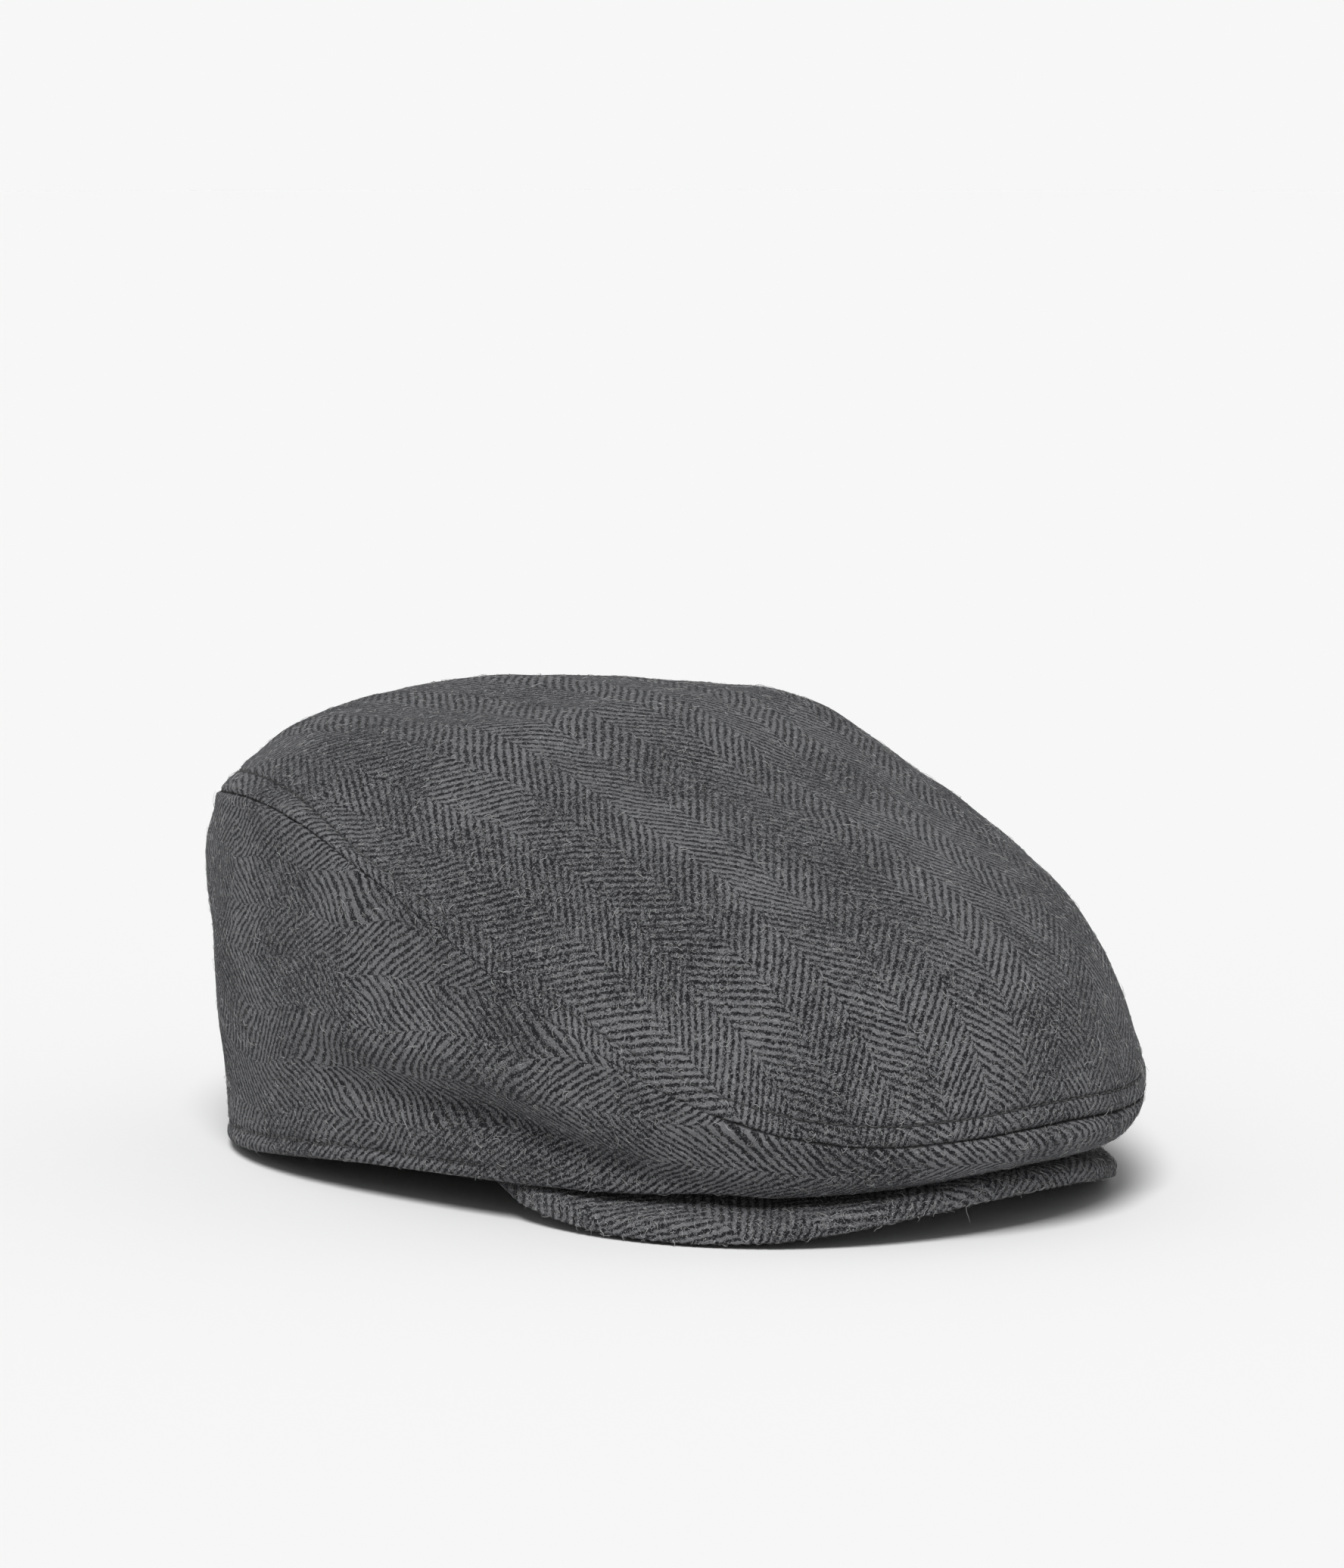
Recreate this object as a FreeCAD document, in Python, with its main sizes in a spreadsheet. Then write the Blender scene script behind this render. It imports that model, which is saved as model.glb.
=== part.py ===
import FreeCAD, Part
import Sketcher
import math
import os

# Flat cap, millimetres. +Z is up and the cap stands on z = 0. The visor points to -Y, the wearer's
# right is -X, and the origin is the centre of the head opening on the surface the cap stands on.
# An angle round the cap starts at the front (-Y) and passes the wearer's right (-X), then the back.

Vector = FreeCAD.Vector

# --------------------------------------------------------------------------- driving dimensions

# The crown and the lining are drawn by level lines that run round the cap, from the hem to the top.
# Each one has a height and a reach at the front, side and back, the place along Y where it is
# widest, and how far it leans, ripples and squares off from a plain oval.
LEVEL_VALUES = ("front_height", "side_height", "back_height",
                "front_reach", "back_reach", "half_width", "widest_at",
                "lean", "ripple", "squareness")
LEVELS = {
    "hem": (14.5, 8.0, 1.2, 133.5, 106.0, 87.0, 4.0, 0.0, 1.0, 0.05),
    "lower": (20.0, 29.0, 25.5, 147.0, 112.0, 94.0, -1.0, 1.6, 3.0, 0.0),
    "belly": (23.5, 62.0, 71.0, 150.0, 114.0, 100.0, 0.0, 3.3, 4.5, 0.0),
    "seam": (27.5, 86.0, 92.5, 149.0, 105.5, 101.5, -10.0, 5.7, 5.0, 0.017),
    "shoulder": (49.0, 96.5, 110.0, 147.0, 81.5, 87.0, -1.0, 1.2, 1.1, 0.0),
    "upper": (95.5, 112.0, 119.0, 75.5, 43.5, 59.0, -8.5, 0.0, 0.8, 0.0),
    "lining_edge": (40.0, 35.0, 30.0, 102.8, 102.8, 84.8, 0.0, 0.0, 0.0, 0.0),
    "lining_waist": (58.0, 60.0, 64.0, 111.0, 107.0, 93.0, 0.0, 3.0, 3.0, 0.0),
    "lining_seam": (71.0, 81.0, 86.0, 110.0, 99.0, 93.0, -2.0, 5.0, 4.0, 0.0),
    "lining_shoulder": (82.0, 90.0, 103.0, 90.0, 76.0, 76.0, -2.0, 1.2, 1.1, 0.0),
    "lining_upper": (93.0, 105.0, 112.0, 66.0, 40.0, 50.0, -6.0, 0.0, 0.8, 0.0),
}

DIMENSIONS = {
    "top_height": 118.5,
    "top_at": -16.0,
    "lining_top_height": 112.0,
    # cloth
    "wool_thickness": 2.0,
    "lining_thickness": 0.6,
    "interlining_thickness": 0.8,
    "tape_thickness": 0.6,
    "layer_gap": 0.3,
    "seam_gap": 0.3,
    "thread_width": 0.8,
    "thread_height": 0.5,
    "thread_clearance": 0.1,
    "crown_stitch_inset": 5.0,
    "crown_stitch_end_angle": 1.15,
    "hem_stitch_inset": 5.0,
    "hem_stitch_first_angle": 70.0,
    # backing: the tape starts above the hem and ends below the seam, the interlining starts above the seam
    "tape_width": 9.0,
    "tape_start": 8.0,
    "tape_end_gap": 6.0,
    "interlining_half_angle": 52.0,
    "interlining_start": 9.0,
    "interlining_end": 62.0,
    # sweatband, an oval band in the head opening
    "opening_half_length": 101.0,
    "opening_half_width": 83.0,
    "sweatband_thickness": 1.2,
    "sweatband_width": 32.0,
    "sweatband_low_point": 8.8,
    "sweatband_tilt": 3.0,
    "sweatband_stitch_inset": 4.0,
    # visor, a plate bent round an axis that runs front to back
    "visor_front": 141.5,
    "visor_height": 10.8,
    "visor_tilt": 4.9,
    "visor_bend_radius": 245.0,
    "visor_rim_radius": 82.0,
    "visor_root_radius": 80.0,
    "visor_depth": 39.0,
    "visor_cover_thickness": 1.7,
    "visor_layer_gap": 0.1,
    "visor_pocket_overrun": 6.0,
    "board_thickness": 1.8,
    "board_inset": 3.0,
    "board_root_inset": 2.0,
    "board_edge_gap": 0.3,
    "rim_stitch_rise": 0.6,
    "rim_stitch_root_inset": 1.0,
    # blank size label, inside the sweatband at the back
    "label_width": 34.0,
    "label_height": 16.0,
    "label_thickness": 0.5,
    "label_rise": 10.0,
    "label_bend_radius": 62.0,
}

doc = FreeCAD.newDocument("flat_cap")
sheet = doc.addObject("Spreadsheet::Sheet", "dims")


def fill_sheet():
    """Write every driving dimension to the sheet, each in a cell with its own alias."""
    rows = dict(DIMENSIONS)
    for level, values in LEVELS.items():
        for quantity, value in zip(LEVEL_VALUES, values):
            rows[f"{level}_{quantity}"] = value
    for row, (alias, value) in enumerate(rows.items(), start=1):
        sheet.set(f"A{row}", alias)
        sheet.set(f"B{row}", str(value))
        sheet.setAlias(f"B{row}", alias)
    doc.recompute()


def size(alias):
    """Read one driving dimension from the sheet."""
    return float(sheet.get(alias))


fill_sheet()

# --------------------------------------------------------------------------- the crown's shape


def level_point(level, angle):
    """The point of a level line at an angle round the cap."""
    front, side, back, front_reach, back_reach, half_width, widest, lean, ripple, squareness = [
        size(f"{level}_{quantity}") for quantity in LEVEL_VALUES]
    ahead, across = math.cos(angle), math.sin(angle)
    fullness = 1.0 + squareness * math.sin(2.0 * angle) ** 2
    reach = widest + front_reach if ahead > 0 else back_reach - widest
    height = (front + back) / 4.0 + side / 2.0 + (front - back) / 2.0 * ahead
    height += ((front + back) / 4.0 - side / 2.0) * (2.0 * ahead ** 2 - 1.0)
    height += lean * (math.cos(3.0 * angle) - ahead) + ripple * (math.cos(4.0 * angle) - 1.0)
    return Vector(-half_width * across * fullness, (widest - reach * ahead) * fullness, height)


class NaturalCurve:
    """A natural cubic curve through points, measured along by the straight lines between them."""

    def __init__(self, points):
        self.points = points
        self.spans = [(end - start).Length for start, end in zip(points, points[1:])]
        self.length = sum(self.spans)
        slopes = [(end - start) * (1.0 / span) for start, end, span in zip(points, points[1:], self.spans)]
        last = len(points) - 1
        follow = [0.0] * (last + 1)
        carried = [Vector()] * (last + 1)
        for i in range(1, last):
            pivot = 2.0 * (self.spans[i - 1] + self.spans[i]) - self.spans[i - 1] * follow[i - 1]
            follow[i] = self.spans[i] / pivot
            carried[i] = ((slopes[i] - slopes[i - 1]) * 6.0 - carried[i - 1] * self.spans[i - 1]) * (1.0 / pivot)
        self.bends = [Vector()] * (last + 1)
        for i in range(last - 1, 0, -1):
            self.bends[i] = carried[i] - self.bends[i + 1] * follow[i]

    def at(self, distance):
        """The point at a distance along the curve from its first point."""
        i = 0
        while i < len(self.spans) - 1 and distance > self.spans[i]:
            distance -= self.spans[i]
            i += 1
        span = self.spans[i]
        near = 1.0 - distance / span
        far = distance / span
        point = self.points[i] * near + self.points[i + 1] * far
        point += self.bends[i] * ((near ** 3 - near) * span ** 2 / 6.0)
        point += self.bends[i + 1] * ((far ** 3 - far) * span ** 2 / 6.0)
        return point


def rising_curve(angle, levels):
    """A curve up the side of the cap through level lines."""
    return NaturalCurve([level_point(level, angle) for level in levels])


def over_the_top(angle, levels, height):
    """A curve over the cap, from one side to the other, through level lines and the top."""
    near = [level_point(level, angle) for level in levels]
    far = [level_point(level, angle + math.pi) for level in reversed(levels)]
    return NaturalCurve(near + [Vector(0, size("top_at"), height)] + far)


def side_curve(angle):
    return rising_curve(angle, ("hem", "lower", "belly", "seam"))


def crown_curve(angle):
    return over_the_top(angle, ("seam", "shoulder", "upper"), size("top_height"))


def lining_side_curve(angle):
    return rising_curve(angle, ("lining_edge", "lining_waist", "lining_seam"))


def lining_crown_curve(angle):
    return over_the_top(angle, ("lining_seam", "lining_shoulder", "lining_upper"), size("lining_top_height"))


def rise_to_top(curve):
    """How far along a curve over the crown its middle point, the top, lies."""
    return sum(curve.spans[:len(curve.spans) // 2])


def dome_point(curve_at, across, along):
    """A point of a dome, from its place on a unit disc: 0, 0 is the top and the edge is the seam."""
    radius = min(1.0, math.hypot(across, along))
    curve = curve_at(math.atan2(-across, -along))
    return curve.at(rise_to_top(curve) * (1.0 - radius))


def dome_normal(curve_at, across, along):
    """The outward normal of a dome at a place on the unit disc, taken just inside its edge."""
    step = 0.01
    shrink = min(1.0, (1.0 - 2.0 * step) / max(math.hypot(across, along), step))
    across, along = across * shrink, along * shrink
    right = dome_point(curve_at, across + step, along) - dome_point(curve_at, across - step, along)
    back = dome_point(curve_at, across, along + step) - dome_point(curve_at, across, along - step)
    return right.cross(back).normalize()


def strip_normal(curve_at, angle, distance):
    """The outward normal of a strip that runs round the cap."""
    turn, climb = 0.01, 0.2
    start = min(distance, curve_at(angle).length - climb)
    up = curve_at(angle).at(start + climb) - curve_at(angle).at(start)
    ahead, behind = curve_at(angle - turn), curve_at(angle + turn)
    share = distance / curve_at(angle).length
    round_cap = behind.at(share * behind.length) - ahead.at(share * ahead.length)
    return up.cross(round_cap).normalize()


def crease_setback(side_at, dome_at, angle, thickness):
    """How much shorter the inside of two layers is than the outside, where they meet at a crease."""
    side = strip_normal(side_at, angle, side_at(angle).length)
    dome = dome_normal(dome_at, -math.sin(angle), -math.cos(angle))
    return thickness * math.tan(side.getAngle(dome) / 2.0)


# --------------------------------------------------------------------------- solids from cloth

def even_spline(points):
    curve = Part.BSplineCurve()
    curve.interpolate(Points=points, Parameters=[float(i) for i in range(len(points))])
    return curve


def surface_through(grid):
    """A cubic surface through a grid of points: splines along its rows, then across their poles."""
    rows = [even_spline(row) for row in grid]
    columns = [even_spline([row.getPole(i) for row in rows]) for i in range(1, rows[0].NbPoles + 1)]
    poles = [[column.getPole(i) for column in columns] for i in range(1, columns[0].NbPoles + 1)]
    across, along = columns[0], rows[0]
    surface = Part.BSplineSurface()
    surface.buildFromPolesMultsKnots(poles, across.getMultiplicities(), along.getMultiplicities(),
                                     across.getKnots(), along.getKnots(), False, False,
                                     across.Degree, along.Degree)
    return surface


def cloth_solid(outer_grid, inner_grid):
    """A closed solid between two grids of points: both faces and the four cut edges."""
    outer, inner = surface_through(outer_grid), surface_through(inner_grid)
    faces = [outer.toShape(), inner.toShape()]
    low_u, high_u, low_v, high_v = outer.bounds()
    inner_low_u, inner_high_u, inner_low_v, inner_high_v = inner.bounds()
    edges = (
        (outer.uIso(low_u), inner.uIso(inner_low_u)),
        (outer.uIso(high_u), inner.uIso(inner_high_u)),
        (outer.vIso(low_v), inner.vIso(inner_low_v)),
        (outer.vIso(high_v), inner.vIso(inner_high_v)),
    )
    for outer_edge, inner_edge in edges:
        faces.append(Part.makeRuledSurface(outer_edge.toShape(), inner_edge.toShape()))
    shell = Part.makeShell(faces)
    shell.sewShape()
    solid = Part.makeSolid(Part.Shell(shell.Faces))
    if solid.Volume < 0:
        solid.reverse()
    return solid


def spread(start, end, count):
    """Evenly spaced values from start to end."""
    return [start + (end - start) * i / (count - 1) for i in range(count)]


def dome_solid(side_at, dome_at, thickness, rows):
    """A dome of cloth. A square grid is eased onto the disc, so that no point is a pole."""
    edge = 1.0 - size("seam_gap") / 2.0 / rise_to_top(dome_at(math.pi / 2.0))
    outer_grid, inner_grid = [], []
    for u in spread(-edge, edge, rows):
        outer_row, inner_row = [], []
        for v in spread(-edge, edge, rows):
            across, along = u * math.sqrt(1.0 - v * v / 2.0), v * math.sqrt(1.0 - u * u / 2.0)
            angle = math.atan2(-across, -along)
            inside = 1.0 - crease_setback(side_at, dome_at, angle, thickness) / rise_to_top(dome_at(angle))
            outer_row.append(dome_point(dome_at, across, along))
            inner_place = (across * inside, along * inside)
            inner_row.append(dome_point(dome_at, *inner_place) - dome_normal(dome_at, *inner_place) * thickness)
        outer_grid.append(outer_row)
        inner_grid.append(inner_row)
    return cloth_solid(outer_grid, inner_grid)


def band_solid(side_at, dome_at, thickness, columns, rows):
    """A band of cloth right round the cap, under a dome. Its ends meet at the centre back."""
    half_gap = size("seam_gap") / 2.0
    gap_angle = half_gap / size("hem_back_reach")
    outer_grid, inner_grid = [], []
    for angle in spread(-math.pi + gap_angle, math.pi - gap_angle, columns):
        curve = side_at(angle)
        top = curve.length - half_gap
        inner_top = top - crease_setback(side_at, dome_at, angle, thickness)
        outer_grid.append([curve.at(distance) for distance in spread(0.0, top, rows)])
        inner_grid.append([curve.at(distance) - strip_normal(side_at, angle, distance) * thickness
                           for distance in spread(0.0, inner_top, rows)])
    return cloth_solid(outer_grid, inner_grid)


def strip_solid(curve_at, angles, distances, top_offset, bottom_offset):
    """A narrow piece that lies along the cap's surface, between two offsets from it."""
    outer_grid, inner_grid = [], []
    for angle in angles:
        curve = curve_at(angle)
        points = [(curve.at(distance), strip_normal(curve_at, angle, distance)) for distance in distances]
        outer_grid.append([point + normal * top_offset for point, normal in points])
        inner_grid.append([point + normal * bottom_offset for point, normal in points])
    return cloth_solid(outer_grid, inner_grid)


def add_cloth(name, shape):
    piece = doc.addObject("Part::Feature", name)
    piece.Label = name
    piece.Shape = shape
    piece.Placement = FreeCAD.Placement()
    return piece


# --------------------------------------------------------------------------- crown

wool = size("wool_thickness")


def make_crown_top_panel():
    return add_cloth("crown_top_panel", dome_solid(side_curve, crown_curve, wool, rows=25))


def make_side_band():
    """One strip of wool. Its two ends meet at the centre back."""
    return add_cloth("side_band", band_solid(side_curve, crown_curve, wool, columns=73, rows=13))


def make_back_seam_tape():
    half_angle = size("tape_width") / 2.0 / size("belly_back_reach")
    outside = -wool - size("layer_gap")
    end = side_curve(math.pi).length - size("tape_end_gap")
    shape = strip_solid(side_curve, spread(math.pi - half_angle, math.pi + half_angle, 5),
                        spread(size("tape_start"), end, 9), outside, outside - size("tape_thickness"))
    return add_cloth("back_seam_tape", shape)


def make_front_interlining():
    """Stiffens the front of the top panel, between the wool and the lining."""
    outside = -wool - size("layer_gap")
    half_angle = math.radians(size("interlining_half_angle"))
    distances = spread(size("interlining_start"), size("interlining_end"), 11)
    shape = strip_solid(crown_curve, spread(-half_angle, half_angle, 25), distances,
                        outside, outside - size("interlining_thickness"))
    return add_cloth("front_interlining", shape)


def make_thread(name, curve_at, first_angle, last_angle, inset):
    """A row of stitches as one low ridge that lies on the cloth."""
    half_width = size("thread_width") / 2.0
    clearance = size("thread_clearance")
    shape = strip_solid(curve_at, spread(first_angle, last_angle, 97),
                        spread(inset - half_width, inset + half_width, 4),
                        clearance + size("thread_height"), clearance)
    return add_cloth(name, shape)


def make_crown_topstitch():
    """Runs round the top panel just above the crown seam. Its ends nearly meet at the centre back."""
    last_angle = math.pi - math.radians(size("crown_stitch_end_angle"))
    return make_thread("crown_topstitch", crown_curve, -last_angle, last_angle, size("crown_stitch_inset"))


def make_hem_topstitch():
    """Runs round the hem from one end of the visor to the other, by way of the back."""
    first_angle = math.radians(size("hem_stitch_first_angle"))
    return make_thread("hem_topstitch", side_curve, first_angle, 2.0 * math.pi - first_angle,
                       size("hem_stitch_inset"))


# --------------------------------------------------------------------------- lining

def make_lining_top():
    shape = dome_solid(lining_side_curve, lining_crown_curve, size("lining_thickness"), rows=17)
    return add_cloth("lining_top", shape)


def make_lining_side():
    shape = band_solid(lining_side_curve, lining_crown_curve, size("lining_thickness"), columns=49, rows=9)
    return add_cloth("lining_side", shape)


# --------------------------------------------------------------------------- sweatband and label

def add_oval_column(name, inset, width):
    """A solid oval column, inset from the sweatband's outside."""
    oval = doc.addObject("Part::Ellipse", f"{name}_oval")
    oval.setExpression("MajorRadius", f"dims.opening_half_length - {inset}")
    oval.setExpression("MinorRadius", f"dims.opening_half_width - {inset}")
    column = doc.addObject("Part::Extrusion", f"{name}_column")
    column.Base = oval
    column.DirMode = "Custom"
    column.Dir = Vector(0, 0, 1)
    column.Solid = True
    column.setExpression("LengthFwd", width)
    return column


def add_oval_band(name, inset, thickness, width, rise):
    """An oval band in the head opening, tilted up towards the front."""
    band = doc.addObject("Part::Cut", name)
    band.Label = name
    band.Base = add_oval_column(f"{name}_outside", inset, width)
    band.Tool = add_oval_column(f"{name}_inside", f"{inset} - {thickness}", width)
    turn = FreeCAD.Rotation(Vector(0, 0, 1), 90)
    tilt = FreeCAD.Rotation(Vector(1, 0, 0), -size("sweatband_tilt"))
    base = Vector(0, 0, size("sweatband_low_point")) + tilt.multVec(Vector(0, 0, rise))
    band.Placement = FreeCAD.Placement(base, tilt.multiply(turn))
    return band


def make_sweatband():
    return add_oval_band("sweatband", "0", "dims.sweatband_thickness", "dims.sweatband_width", 0.0)


def make_sweatband_stitch():
    """Sews the sweatband's lower edge in. It lies on the band's inner face."""
    rise = size("sweatband_stitch_inset")
    return add_oval_band("sweatband_stitch", "dims.sweatband_thickness - dims.thread_clearance",
                         "dims.thread_height", "dims.thread_width", rise)


def origin_plane(body, role):
    return next(plane for plane in body.Origin.OriginFeatures if plane.Role == role)


def add_sketch(body, name, role):
    sketch = body.newObject("Sketcher::SketchObject", name)
    sketch.AttachmentSupport = (origin_plane(body, role), [""])
    sketch.MapMode = "FlatFace"
    return sketch


def tie(sketch, kind, *places):
    sketch.addConstraint(Sketcher.Constraint(kind, *places))


def bind(sketch, kind, *places, value, expression):
    """Add a sized constraint to a sketch and bind it to the sheet."""
    index = sketch.addConstraint(Sketcher.Constraint(kind, *places, value))
    sketch.setExpression(f"Constraints[{index}]", expression)


ORIGIN = (-1, 1)
UP_AXIS = -2
START, END, CENTRE = 1, 2, 3


def add_arc_band(sketch, inner, outer, half_angle, centre_height):
    """A closed band between two arcs that crown the sketch's up axis, with ends square to them.

    inner, outer and centre_height are pairs of a value and its expression.
    """
    middle = Vector(0, centre_height[0], 0)
    axis = Vector(0, 0, 1)
    first, last = math.pi / 2.0 - half_angle, math.pi / 2.0 + half_angle
    arcs = []
    for radius, _ in (outer, inner):
        arcs.append(sketch.addGeometry(Part.ArcOfCircle(Part.Circle(middle, axis, radius), first, last), False))
    tie(sketch, "Coincident", arcs[0], CENTRE, arcs[1], CENTRE)
    for place in (START, END):
        ends = [sketch.getPoint(arc, place) for arc in arcs]
        line = sketch.addGeometry(Part.LineSegment(*ends), False)
        tie(sketch, "Coincident", line, START, arcs[0], place)
        tie(sketch, "Coincident", line, END, arcs[1], place)
        tie(sketch, "PointOnObject", arcs[0], CENTRE, line)
    tie(sketch, "Symmetric", arcs[0], START, arcs[0], END, UP_AXIS)
    width = 2.0 * outer[0] * math.sin(half_angle)
    tie(sketch, "DistanceX", arcs[0], END, arcs[0], START, width)
    for arc, (radius, expression) in zip(arcs, (outer, inner)):
        bind(sketch, "Radius", arc, value=radius, expression=expression)
    if centre_height[0] < 0:
        tie(sketch, "PointOnObject", arcs[0], CENTRE, UP_AXIS)
        bind(sketch, "DistanceY", arcs[0], CENTRE, *ORIGIN, value=-centre_height[0], expression=centre_height[1])
    else:
        tie(sketch, "Coincident", arcs[0], CENTRE, *ORIGIN)


def make_size_label():
    """A blank woven label, bent to the back of the sweatband."""
    body = doc.addObject("PartDesign::Body", "size_label")
    body.Label = "size_label"
    sketch = add_sketch(body, "label_plan", "XY_Plane")
    radius = size("label_bend_radius")
    add_arc_band(sketch, inner=(radius - size("label_thickness"), "dims.label_bend_radius - dims.label_thickness"),
                 outer=(radius, "dims.label_bend_radius"), half_angle=size("label_width") / 2.0 / radius,
                 centre_height=(0.0, "0"))
    pad = body.newObject("PartDesign::Pad", "label_pad")
    pad.Profile = sketch
    pad.setExpression("Length", "dims.label_height")
    gap = size("sweatband_thickness") + size("thread_height") + size("layer_gap")
    back = size("opening_half_length") - gap - size("label_bend_radius")
    tilt = FreeCAD.Rotation(Vector(1, 0, 0), -size("sweatband_tilt"))
    base = Vector(0, 0, size("sweatband_low_point")) + tilt.multVec(Vector(0, back, size("label_rise")))
    body.Placement = FreeCAD.Placement(base, tilt)
    return body


# --------------------------------------------------------------------------- visor

def add_crescent(sketch, rim, root, root_centre):
    """The visor's plan: the space between a rim arc and a root arc that lies further back.

    Each is a pair of a value and its expression. The rim arc passes through the origin.
    """
    apart = root_centre[0] - rim[0]
    meet = (rim[0] ** 2 - root[0] ** 2 - apart ** 2) / (2.0 * apart)
    width = math.sqrt(root[0] ** 2 - meet ** 2)
    axis = Vector(0, 0, 1)
    arcs = []
    for (radius, expression), height, rise in ((rim, rim[0], meet + apart), (root, root_centre[0], meet)):
        swing = math.atan2(rise, width)
        circle = Part.Circle(Vector(0, height, 0), axis, radius)
        arc = sketch.addGeometry(Part.ArcOfCircle(circle, math.pi - swing, 2.0 * math.pi + swing), False)
        tie(sketch, "PointOnObject", arc, CENTRE, UP_AXIS)
        bind(sketch, "Radius", arc, value=radius, expression=expression)
        arcs.append(arc)
    for place in (START, END):
        tie(sketch, "Coincident", arcs[0], place, arcs[1], place)
    return arcs


def add_frame(sketch, reach):
    """A square about the origin, its half side a pair of a value and its expression."""
    corners = [Vector(x * reach[0], y * reach[0], 0) for x, y in ((-1, -1), (1, -1), (1, 1), (-1, 1))]
    sides = []
    for start, end in zip(corners, corners[1:] + corners[:1]):
        sides.append(sketch.addGeometry(Part.LineSegment(start, end), False))
    for side, following, direction in zip(sides, sides[1:] + sides[:1], ("Horizontal", "Vertical") * 2):
        tie(sketch, "Coincident", side, END, following, START)
        tie(sketch, direction, side)
    low_corner, high_corner = (sides[0], START), (sides[2], START)
    for kind in ("DistanceX", "DistanceY"):
        bind(sketch, kind, *low_corner, *ORIGIN, value=reach[0], expression=reach[1])
        bind(sketch, kind, *ORIGIN, *high_corner, value=reach[0], expression=reach[1])


def visor_placement():
    """The visor's own frame: its origin is the middle of the rim, with +Y back along the visor."""
    tilt = FreeCAD.Rotation(Vector(1, 0, 0), size("visor_tilt"))
    return FreeCAD.Placement(Vector(0, -size("visor_front"), size("visor_height")), tilt)


SECTION_MARGIN = 1.2


def add_visor_plate(name, low, high, rim_inset, root_inset):
    """One bent layer of the visor, between two heights about its middle surface.

    low, high and the insets are expressions of the sheet. The bent section is a little wider than the
    visor. It is padded from front to back, then everything outside the crescent is cut away.
    """
    body = doc.addObject("PartDesign::Body", name)
    body.Label = name
    values = doc.addObject("Spreadsheet::Sheet", f"{name}_sizes")
    formulas = {
        "low_radius": f"=dims.visor_bend_radius + ({low})",
        "high_radius": f"=dims.visor_bend_radius + ({high})",
        "rim_radius": f"=dims.visor_rim_radius - ({rim_inset})",
        "root_radius": f"=dims.visor_root_radius + ({root_inset})",
        "root_centre": "=dims.visor_depth + dims.visor_root_radius",
    }
    for row, (alias, formula) in enumerate(formulas.items(), start=1):
        values.set(f"B{row}", formula)
        values.setAlias(f"B{row}", alias)
    doc.recompute()

    section = add_sketch(body, f"{name}_section", "XZ_Plane")
    half_angle = math.asin(SECTION_MARGIN * size("visor_rim_radius") / size("visor_bend_radius"))
    add_arc_band(section, inner=(values.get("low_radius"), f"{name}_sizes.low_radius"),
                 outer=(values.get("high_radius"), f"{name}_sizes.high_radius"), half_angle=half_angle,
                 centre_height=(-size("visor_bend_radius"), "dims.visor_bend_radius"))
    pad = body.newObject("PartDesign::Pad", f"{name}_pad")
    pad.Profile = section
    pad.Reversed = True
    pad.setExpression("Length", "dims.visor_rim_radius * 1.5")

    plan = add_sketch(body, f"{name}_plan", "XY_Plane")
    add_frame(plan, (2.0 * size("visor_rim_radius"), "dims.visor_rim_radius * 2"))
    rim_radius, root_radius = values.get("rim_radius"), values.get("root_radius")
    rim_arc, root_arc = add_crescent(plan, (rim_radius, f"{name}_sizes.rim_radius"),
                                     (root_radius, f"{name}_sizes.root_radius"),
                                     (values.get("root_centre"), f"{name}_sizes.root_centre"))
    bind(plan, "DistanceY", *ORIGIN, rim_arc, CENTRE, value=size("visor_rim_radius"),
         expression="dims.visor_rim_radius")
    bind(plan, "DistanceY", *ORIGIN, root_arc, CENTRE, value=values.get("root_centre"),
         expression=f"{name}_sizes.root_centre")
    trim = body.newObject("PartDesign::Pocket", f"{name}_trim")
    trim.Profile = plan
    trim.Type = "ThroughAll"
    trim.Midplane = True
    body.Placement = visor_placement()
    return body


HALF_BOARD = "dims.board_thickness / 2"
COVER_INSIDE = f"{HALF_BOARD} + dims.visor_layer_gap"
COVER_OUTSIDE = f"{COVER_INSIDE} + dims.visor_cover_thickness"
PAST_THE_ROOT = "-dims.visor_pocket_overrun"


def make_visor_board():
    return add_visor_plate("visor_board", f"-({HALF_BOARD})", HALF_BOARD, "dims.board_inset",
                           "dims.board_root_inset")


def make_visor_top_cover():
    return add_visor_plate("visor_top_cover", COVER_INSIDE, COVER_OUTSIDE, "0", "0")


def make_visor_under_cover():
    """The under cover turns up round the board's edge to meet the top cover at the rim."""
    plate = add_visor_plate("under_cover_plate", f"-({COVER_OUTSIDE})", HALF_BOARD, "0", "0")
    pocket = add_visor_plate("under_cover_pocket", f"-({COVER_INSIDE})", COVER_OUTSIDE,
                             "dims.board_inset - dims.board_edge_gap", PAST_THE_ROOT)
    cover = doc.addObject("Part::Cut", "visor_under_cover")
    cover.Label = "visor_under_cover"
    cover.Base = plate
    cover.Tool = pocket
    return cover


def make_visor_rim_stitch():
    """Thread round the rim, where the two covers are sewn together."""
    low = f"-({COVER_OUTSIDE}) + dims.rim_stitch_rise"
    stitch = doc.addObject("Part::Cut", "visor_rim_stitch")
    stitch.Label = "visor_rim_stitch"
    stitch.Base = add_visor_plate("rim_stitch_plate", low, f"{low} + dims.thread_width",
                                  "-(dims.thread_clearance + dims.thread_height)", "dims.rim_stitch_root_inset")
    stitch.Tool = add_visor_plate("rim_stitch_inside", f"-({COVER_OUTSIDE})", COVER_OUTSIDE,
                                  "-dims.thread_clearance", PAST_THE_ROOT)
    return stitch


# --------------------------------------------------------------------------- build and check

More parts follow.
